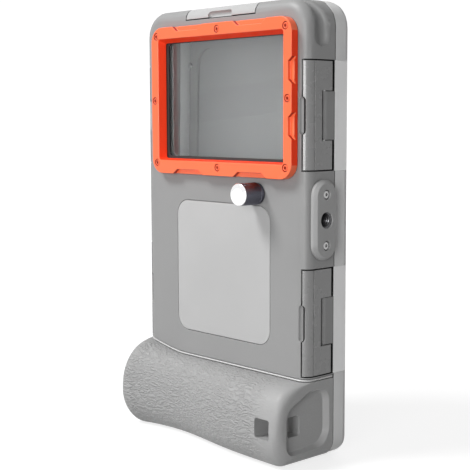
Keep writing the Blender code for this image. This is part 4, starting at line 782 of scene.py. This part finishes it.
# Knob
knobShape = {"x": 25.0, "z": 116.5, "radius": 5.05, "back": -0.3, "front": -12.2, "knurl": 0.26, "pitch": 0.86,
             "chamfer": 0.45, "plainBack": 1.9, "sides": 216, "knurlRows": 76, "fade": 0.25, "skin": 0.02,
             "backRows": ((-0.5, 0.0), (-0.3, -0.2)), "faceDepth": 0.4}


def makeKnob():
    # Diamond knurl: the radius drops along two crossing families of helical lines, by a triangle wave of each
    k = knobShape
    full, back, front, chamfer, fade = [k[key] for key in ("radius", "back", "front", "chamfer", "fade")]
    angle = np.linspace(0.0, fullTurn, k["sides"], endpoint=False)
    depth = np.linspace(back - k["plainBack"], front + chamfer + fade, k["knurlRows"])
    turns = round(fullTurn * full / k["pitch"]) * angle[None, :] / fullTurn
    lead = depth[:, None] / k["pitch"]
    wave = np.abs(((turns + lead) % 1.0) - 0.5) + np.abs(((turns - lead) % 1.0) - 0.5)
    share = np.clip(np.minimum(depth - depth.min(), depth.max() - depth) / fade, 0.0, 1.0)
    radius = full - k["knurl"] * (1.0 - wave) * share[:, None] - k["skin"]
    rows = [(full + outer, back + level) for outer, level in k["backRows"]]
    rows.append((rows[-1][0], back - k["plainBack"] + fade))
    rows += zip(radius, depth)
    rows += [(full - 0.04, front + chamfer + 0.1), (full - chamfer + 0.05, front + 0.08),
             (full - chamfer - 0.1, front), (full / 2, front), (0.05, front)]
    knob = turnedObject("knurledKnob", (k["x"], k["z"]), rows, sides=k["sides"], sharp=40.0)
    finishPiece(knob, knobFlank, "knob")
    paintFaces(knob, (knobFace,), faceCentres(knob)[:, 1] < front + k["faceDepth"])


makeKnob()
print("knob made")

# Side plate, its screws and the threaded insert. Hole and well are rows of radius and depth, and the chamfer's
# rows are (inset, depth) from its two ends
sidePlate = {
    "centreY": 9.7, "centreZ": 106.1, "halfWidth": 7.2, "halfHeight": 17.4, "cornerSteps": 16, "back": 54.8,
    "face": 57.5, "chamfer": 1.5, "chamferStart": ((0.0, -0.25), (0.03, -0.1), (0.14, 0.08)),
    "chamferEnd": ((-0.2, -0.22), (-0.03, -0.07), (0.15, 0.0)), "screwSpacing": 21.9,
    "hole": ((4.5, 52.5), (4.5, 56.8), (3.5, 56.8), (3.5, 57.25), (3.85, 57.6)),
    "well": ((1.2, 52.5), (1.2, 55.4), (2.1, 55.4), (2.1, 57.35), (2.3, 57.6)),
}
plateScrew = {"radius": 1.75, "face": 57.0, "inwards": -1.0, "height": 1.4, "rim": 0.3, "shank": 1.0, "length": 8.0,
              "ring": (), "socket": 0.8, "socketDepth": 0.8, "socketTip": 0.1}
insertShape = {"outer": ((4.3, 56.4), (4.3, 51.1), (3.4, 51.1)), "lip": ((3.3, 56.7), (4.1, 56.7)), "sides": 48,
               "thread": (51.3, 56.4), "threadRows": 90, "pitch": 1.27, "bore": 2.75, "threadHeight": 0.42}


def makeSidePlate():
    p = sidePlate
    y, z, face, chamfer = p["centreY"], p["centreZ"], p["face"], p["chamfer"]
    outline, outward = placedRect(y, p["halfWidth"], z - p["halfHeight"], z + p["halfHeight"], p["halfWidth"] - 0.01,
                                  p["cornerSteps"])
    rows = [(0.0, p["back"])] + [(inset, face - chamfer + depth) for inset, depth in p["chamferStart"]]
    rows += [(chamfer + inset, face + depth) for inset, depth in p["chamferEnd"]]
    plate = plateObject("sidePlate", outline, outward, rows, axis="x")
    screwPlaces = {"lower": (y, z - p["screwSpacing"] / 2), "upper": (y, z + p["screwSpacing"] / 2)}
    tools = [turnedObject("plateHole", (y, z), p["hole"], axis="x", sides=48)]
    tools += [turnedObject("plateWell", centre, p["well"], axis="x") for centre in screwPlaces.values()]
    cutAndShade(plate, tools, 30.0)
    finishPiece(plate, plateGrey, "mount_plate")
    for name, centre in screwPlaces.items():
        screw = screwObject(f"plateScrew_{name}", centre, plateScrew, axis="x")
        finishPiece(screw, screwSteel, f"mount_screw_{name}")


def makeInsert():
    # A nut with its thread: the bore's radius is a triangle wave of depth minus turn, one pitch for each turn
    n = insertShape
    angle = np.linspace(0.0, fullTurn, n["sides"], endpoint=False)
    depth = np.linspace(*n["thread"], n["threadRows"])
    phase = (depth[:, None] / n["pitch"] - angle[None, :] / fullTurn) % 1.0
    bore = n["bore"] + n["threadHeight"] * np.abs(2 * phase - 1.0)
    rows = [*n["outer"], *zip(bore, depth), *n["lip"]]
    insert = turnedObject("threadedInsert", (sidePlate["centreY"], sidePlate["centreZ"]), rows, axis="x",
                          sides=n["sides"], ring=True, sharp=50.0)
    finishPiece(insert, insertBlack, "mount_insert")


makeSidePlate()
makeInsert()
print("side plate made")

# Latches
latchShape = {
    "length": 46.0, "thickness": 2.2, "pivotIn": 2.4, "pivotY": 12.9, "bend": 5.0, "tipIn": 2.7, "slotIn": 3.0,
    "topTipIn": 4.9, "topSlotIn": 3.9, "frontY": 15.8, "barrelTurn": (275.0, 100.0), "lugHalf": 10.6,
    "lugNotchY": 9.4, "slotLength": 16.0, "slotRadius": 1.75, "slotMiddle": 1.0, "slotTip": 0.12,
    "lineDepth": 0.3, "lineHalf": 0.22, "boreRadius": 1.0, "boreHalf": 20.3, "edge": 0.22, "clear": 9.0,
}
# Place of the pin, x and z, and the side that the latch lies on
latchPlaces = {"latch_right_upper": (52.1, 150.511, "right"), "latch_right_lower": (52.1, 61.689, "right"),
               "latch_left_upper": (-52.1, 151.211, "left"), "latch_left_lower": (-52.1, 65.689, "left"),
               "latch_top": (0.0, 197.6, "top")}


def latchSection(tipIn):
    # The hook's cross-section: a wall that turns round the housing's rear edge, and a barrel at the pin
    s = latchShape
    outer, inside, front = s["pivotIn"], s["bend"] - s["thickness"], s["frontY"] - s["pivotY"]
    cx, cy = outer - s["bend"], -s["pivotY"] + s["bend"]
    tip = outer - tipIn
    barrelStart, barrelEnd = [math.radians(angle) for angle in s["barrelTurn"]]
    return np.concatenate([
        [[outer, front]], arcPoints(cx, cy, s["bend"], 0.0, -math.acos((tip - cx) / s["bend"]), 12),
        arcPoints(cx, cy, inside, -math.acos((tip - cx) / inside), 0.0, 9),
        arcPoints(0.0, 0.0, outer, barrelStart, barrelEnd, 20), [[outer / 4, front]]])


def latchObject(name, rings, place):
    # rings = (outwards, y from the pin, along the latch), turned to the side that the latch lies on
    x, z, side = place
    out, y, along = np.moveaxis(np.array(rings), -1, 0)
    y = y + latchShape["pivotY"]
    if side == "top":
        return closedObject(name, np.stack([x - along, y, z + out], -1))
    way = 1.0 if side == "right" else -1.0
    return closedObject(name, np.stack([x + way * out, y, z + way * along], -1))


def latchBar(name, section, half, place):
    return latchObject(name, [lift(section, along, "z") for along in (-half, half)], place)


def fingerSlot(slotIn, place):
    # A capsule: its radius is a quarter circle of the distance to each end
    s = latchShape
    reach, radius = s["slotLength"] / 2, s["slotRadius"]
    tip = reach - radius * (1 - np.cos(np.linspace(s["slotTip"], quarterTurn, 8)))
    along = np.concatenate([-tip, np.linspace(-s["slotMiddle"], s["slotMiddle"], 11), tip[::-1]])
    size = np.sqrt(np.maximum(radius ** 2 - np.maximum(np.abs(along) - (reach - radius), 0.0) ** 2, 1e-4))
    out, y = s["pivotIn"] - slotIn, -s["pivotY"] + radius / 5
    rings = [lift(arcPoints(out, y, r, 0.0, fullTurn, 24)[:-1], level, "z") for r, level in zip(size, along)]
    return latchObject("slot", rings, place)


def makeLatch(node, place):
    # Notch for the door's lug, fine line along the outside, finger slot and bore are taken out of the hook
    s = latchShape
    onTop = place[2] == "top"
    tipIn, slotIn = (s["topTipIn"], s["topSlotIn"]) if onTop else (s["tipIn"], s["slotIn"])
    body = latchBar("hook_" + node, latchSection(tipIn), s["length"] / 2, place)
    clear, lineY = s["clear"], s["bend"] - s["pivotY"]
    lug = boxCorners(-clear, s["lugNotchY"] - s["pivotY"], clear, clear)
    line = boxCorners(s["pivotIn"] - s["lineDepth"], lineY - s["lineHalf"], clear, lineY + s["lineHalf"])
    bore = arcPoints(0.0, 0.0, s["boreRadius"], 0.0, fullTurn, 24)[:-1]
    tools = [latchBar("lugRoom", lug, s["lugHalf"], place), latchBar("line", line, s["length"], place),
             fingerSlot(slotIn, place), latchBar("bore", bore, s["boreHalf"], place)]
    cutAndShade(body, tools, 32.0, s["edge"])
    finishPiece(body, topLatchPaintedLight if onTop else latchGrey, node)


for node, place in latchPlaces.items():
    makeLatch(node, place)
print("latches made")

# Grip and piping. The recess is the hollow in the right end, and its rows are (inset, depth) from its floor and
# from the grip's end
gripShape = {
    "halfWidth": 54.5, "bodyDepth": 17.4, "top": 36.8, "topRise": 4.6, "riseX": -29.0, "risePower": 1.3,
    "depth": 17.4, "waist": 5.1, "waistX": -22.9, "waistSpread": 31.0, "flare": 5.78, "flareSpread": 4.9,
    "belly": 16.9, "bellyRise": 2.0, "heel": 9.2, "fullness": 0.8, "endRound": 4.0, "farRound": 6.5,
    "rearRound": 5.0, "bottomCorner": 8.0, "bead": 0.45, "gap": 0.3,
    "recess": ((-11.6, 5.0), (15.3, 6.2), (15.0, 32.4), (2.5, 32.4), (-11.6, 25.5)),
    "recessRadii": (5.5, 9.0, 6.0, 7.0, 7.0), "recessDepth": 2.8,
    "recessFloor": ((1.7, 0.0), (1.5, 0.05), (1.25, 0.25)),
    "recessMouth": ((0.35, -0.45), (0.1, -0.15), (-0.35, 0.12), (-0.6, 3.0)),
    "tunnel": 8.8, "tunnelCorner": 1.1, "tunnelWall": 2.2, "tunnelBack": -1.0, "tunnelDepth": 7.0, "tunnelZ": 17.6,
    "tunnelReach": -40.0, "tunnelMouth": ((0.0, -0.35), (-0.1, -0.15), (-0.4, 0.05), (-0.6, 1.0)),
    "sleeve": ((-48.5, 1.2, 48.5, 30.0), 4.7, 80.0), "leaf": ((-30.3, 12.7, 30.3, 30.0), -5.0, 6.0),
}
pipingShape = {"sink": 0.5, "seamGap": 0.3, "sides": 12}


def roundInset(distance, radius):
    # What a quarter circle takes off: radius minus the root of radius squared minus distance squared
    beyondStart = np.clip(distance, 0.0, radius)
    return radius - np.sqrt(np.maximum(radius ** 2 - beyondStart ** 2, 0.0))


def gripTop(x):
    # Height of the grip's upper edge: level, then rising to the left end by a power of the distance
    g = gripShape
    rise = np.clip((g["riseX"] - x) / (g["halfWidth"] + g["riseX"]), 0.0, 1.0)
    return g["top"] + g["topRise"] * rise ** g["risePower"]


def gripGrid(x):
    # Sections across the grip: a quarter ellipse under the hand, a fuller curve over it, flat at the seam.
    # Its depth is less by a bell curve at the waist and more by an exponential at the far end
    g = gripShape
    x = x[:, None]
    inset = (roundInset(x - (g["halfWidth"] - g["endRound"]), g["endRound"])
             + roundInset(-x - (g["halfWidth"] - g["farRound"]), g["farRound"]))
    depth = (g["depth"] - g["waist"] * np.exp(-((x - g["waistX"]) / g["waistSpread"]) ** 2)
             + g["flare"] * np.exp(-(x + g["halfWidth"]) / g["flareSpread"])) - inset
    topY = roundInset(np.abs(x) - (g["halfWidth"] - g["rearRound"]), g["rearRound"])
    floor = roundInset(np.abs(x) - (g["halfWidth"] - g["bottomCorner"]), g["bottomCorner"])
    top = gripTop(x) - g["bead"] - g["gap"]
    belly = np.maximum(g["belly"], floor + g["bellyRise"])
    heel = np.minimum(g["heel"], depth)
    low = np.linspace(0.0, quarterTurn, 22)[None, :]
    high = np.linspace(quarterTurn, 0.0, 34)[None, 1:]
    back = np.linspace(0.0, 1.0, 6)[None, 1:]
    down, under = back[:, :-1], np.linspace(0.0, 1.0, 7)[None, :-1]
    seamY = g["bodyDepth"]
    y = [-(depth - heel) - heel * np.sin(low), topY - (depth + topY) * np.sin(high) ** g["fullness"],
         topY + (seamY - topY) * back, seamY + 0.0 * (x + down), seamY + (-(depth - heel) - seamY) * under]
    z = [belly - (belly - floor) * np.cos(low),
         belly + (top - inset * np.sin(high) - belly) * np.cos(high) ** g["fullness"],
         top + 0.0 * back, top + (floor - top) * down, floor + 0.0 * under]
    y, z = np.concatenate(y, 1), np.concatenate(z, 1)
    return np.stack([np.repeat(x, y.shape[1], 1), y, z], -1)


def makeGrip():
    g = gripShape
    half, farRound, endRound = g["halfWidth"], g["farRound"], g["endRound"]
    quarter = np.linspace(0.0, quarterTurn, 16)
    x = np.concatenate([farRound * (1.0 - np.cos(quarter)) - half,
                        np.linspace(farRound - half, half - endRound, 90)[1:],
                        half - endRound + endRound * np.sin(quarter)[1:]])
    grip = closedObject("leatherGrip", gripGrid(x), sharp=40.0)
    floorX = half - g["recessDepth"]
    rows = [(inset, floorX + depth) for inset, depth in g["recessFloor"]]
    rows += [(inset, half + depth) for inset, depth in g["recessMouth"]]
    hollow = plateObject("hollow", *filletedOutline(g["recess"], g["recessRadii"], 10), rows, axis="x")
    halfT = g["tunnel"] / 2
    middleX = floorX - g["tunnelWall"] - halfT
    heights = (g["tunnelZ"] - halfT, g["tunnelZ"] + halfT, g["tunnelCorner"], 6)
    backLeg = plateObject("backLeg", *placedRect(middleX, halfT, *heights),
                          [(0.0, g["tunnelBack"]), (0.0, g["tunnelReach"])])
    sideRows = [(0.0, middleX)] + [(inset, floorX + depth) for inset, depth in g["tunnelMouth"]]
    halfY = g["tunnelDepth"] / 2
    sideLeg = plateObject("sideLeg", *placedRect(g["tunnelBack"] - halfY, halfY, *heights), sideRows, axis="x")
    rooms = [boxObject(name, *g[name], "z") for name in ("sleeve", "leaf")]
    cutAndShade(grip, [hollow, backLeg, sideLeg, *rooms], 38.0)
    finishPiece(grip, gripLeather, "grip")


def makePiping():
    # A bead along the grip's upper edge: up the left side, round the rear corners and down the right side
    g, p = gripShape, pipingShape
    rearRound, sink, turnX = g["rearRound"], p["sink"], g["halfWidth"] - g["rearRound"]
    bend = rearRound - sink
    quarter = np.linspace(0.0, quarterTurn, 13)
    ends = np.linspace(g["bodyDepth"] - p["seamGap"], rearRound, 8)[:-1]
    straight = np.linspace(-turnX, turnX, 60)[1:-1]
    x = np.concatenate([-turnX - bend + 0.0 * ends, -turnX - bend * np.cos(quarter), straight,
                        turnX + bend * np.sin(quarter), turnX + bend + 0.0 * ends])
    y = np.concatenate([ends, rearRound - bend * np.sin(quarter), sink + 0.0 * straight,
                        rearRound - bend * np.cos(quarter), ends[::-1]])
    piping = tubeObject("gripPiping", np.stack([x, y, gripTop(x)], 1), g["bead"], p["sides"])
    finishPiece(piping, pipingGrey, "grip_piping")


makeGrip()
makePiping()
print("grip made")

# The CAD's own solids that stay get their materials; pins and the film frame's screws are steel
nodeFinishes = {
    "window_gasket": sealBlack, "touch_membrane": touchFilm, "membrane_frame": innerGrey, "main_gasket": sealBlack,
    "shaft_oring": sealBlack, "cushion_left": padSilicone, "cushion_right": padSilicone, "cushion_bottom": padSilicone,
    "knob_shaft": pinSteel, "shaft_gland": insertBlack, "shaft_circlip": pinSteel, "key_lever": pinSteel,
    "return_spring": pinSteel,
}
for name, item in nodes.items():
    isSteel = name.endswith("_pin") or name.startswith("membrane_screw")
    material = pinSteel if isSteel else nodeFinishes.get(name)
    if material:
        item.data.materials.clear()
        item.data.materials.append(material)

# Camera, lamps, world and floor. The lamps' places and sizes are in metres, their power in watts
studio = {
    "cameraPlace": (373.74, -332.68, 149.87), "azimuth": 47.56, "pitch": 6.13, "roll": -0.18, "lens": 83.89,
    "sensor": 36.0, "clip": (0.01, 50.0),
    "lamps": {"keyLamp": ((-0.60, -1.0, 1.55), 0.6, 30.0), "frontLamp": ((0.68, -1.42, 0.28), 0.8, 15.5)},
    "lampTarget": (0.0, 0.0, 0.10), "ambient": 0.17,
    "floorColour": 0.28, "floorRoughness": 0.6, "floorGlow": (0.76, 0.97), "glowReach": (0.25, 1.3),
    "floorHalf": 6000.0, "floorNear": -4000.0, "floorFar": 3000.0, "floorRound": 2000.0, "floorSink": 0.2,
}


def addCamera():
    data = bpy.data.cameras.new("camera")
    data.lens = studio["lens"]
    data.sensor_width = studio["sensor"]
    data.clip_start, data.clip_end = studio["clip"]
    camera = linkedObject("camera", data)
    turn = (Matrix.Rotation(math.radians(studio["azimuth"]), 4, "Z")
            @ Matrix.Rotation(math.radians(90.0 - studio["pitch"]), 4, "X")
            @ Matrix.Rotation(math.radians(studio["roll"]), 4, "Z"))
    camera.matrix_world = Matrix.Translation(np.array(studio["cameraPlace"]) * mm + modelShift) @ turn
    bpy.context.scene.camera = camera


def addLamp(name, place, size, power):
    data = bpy.data.lights.new(name, "AREA")
    data.shape = "DISK"
    data.size = size
    data.energy = power
    forward = (Vector(studio["lampTarget"]) - Vector(place)).normalized()
    turn = forward.to_track_quat("-Z", "Y").to_matrix().to_4x4()
    linkedObject(name, data).matrix_world = Matrix.Translation(place) @ turn


def seenDirectly(tree):
    # 1 for rays from the camera, mirrors and glass, 0 for the rays that only light the part
    rays = addNode(tree, "LightPath", {}).outputs
    mirrored = mathNode(tree, "MAXIMUM", rays["Is Camera Ray"], rays["Is Glossy Ray"])
    return mathNode(tree, "MAXIMUM", mirrored, rays["Is Transmission Ray"])


def setWorld():
    world = bpy.data.worlds.new("studio")
    bpy.context.scene.world = world
    world.use_nodes = True
    tree = world.node_tree
    level = addNode(tree, "MapRange", {"Value": seenDirectly(tree), "To Min": studio["ambient"], "To Max": 1.0})
    fillInputs(tree, tree.nodes["Background"], {"Strength": level.outputs["Result"], "Color": grey(1.0)})


def floorMaterial():
    # The glow grows away from the part, so that its shadow stays and the far floor is plain white
    material, tree = newMaterial("floorWhite", grey(studio["floorColour"]), studio["floorRoughness"])
    distance = vectorNode(tree, "LENGTH", {0: objectSpot(tree)}, "Value")
    level = rangeNode(tree, distance, *studio["glowReach"], *studio["floorGlow"])
    glow = mathNode(tree, "MULTIPLY", seenDirectly(tree), level)
    fillShader(tree, {"Emission Color": grey(1.0), "Emission Strength": glow})
    return material


def addFloor():
    # One sheet, turned with the camera: flat under the part, rising behind it along a quarter circle
    s = studio
    quarter = np.linspace(0.1, quarterTurn, 12)
    run = np.concatenate([np.linspace(s["floorNear"], s["floorFar"], 15),
                          s["floorFar"] + s["floorRound"] * np.sin(quarter)])
    rise = np.concatenate([np.zeros(15), s["floorRound"] * (1.0 - np.cos(quarter))])
    x, y = np.meshgrid(np.linspace(-s["floorHalf"], s["floorHalf"], 13), run)
    turn = math.radians(s["azimuth"])
    points = np.stack([x * math.cos(turn) - y * math.sin(turn), x * math.sin(turn) + y * math.cos(turn),
                       rise[:, None] - s["floorSink"] + 0.0 * x], -1)
    floor = gridObject("studio_floor", points, shift=0.0)
    floor.data.materials.append(floorMaterial())


addCamera()
setWorld()
for name, (place, size, power) in studio["lamps"].items():
    addLamp(name, place, size, power)
addFloor()
bpy.context.scene.view_settings.view_transform = "Standard"
print("scene ready")
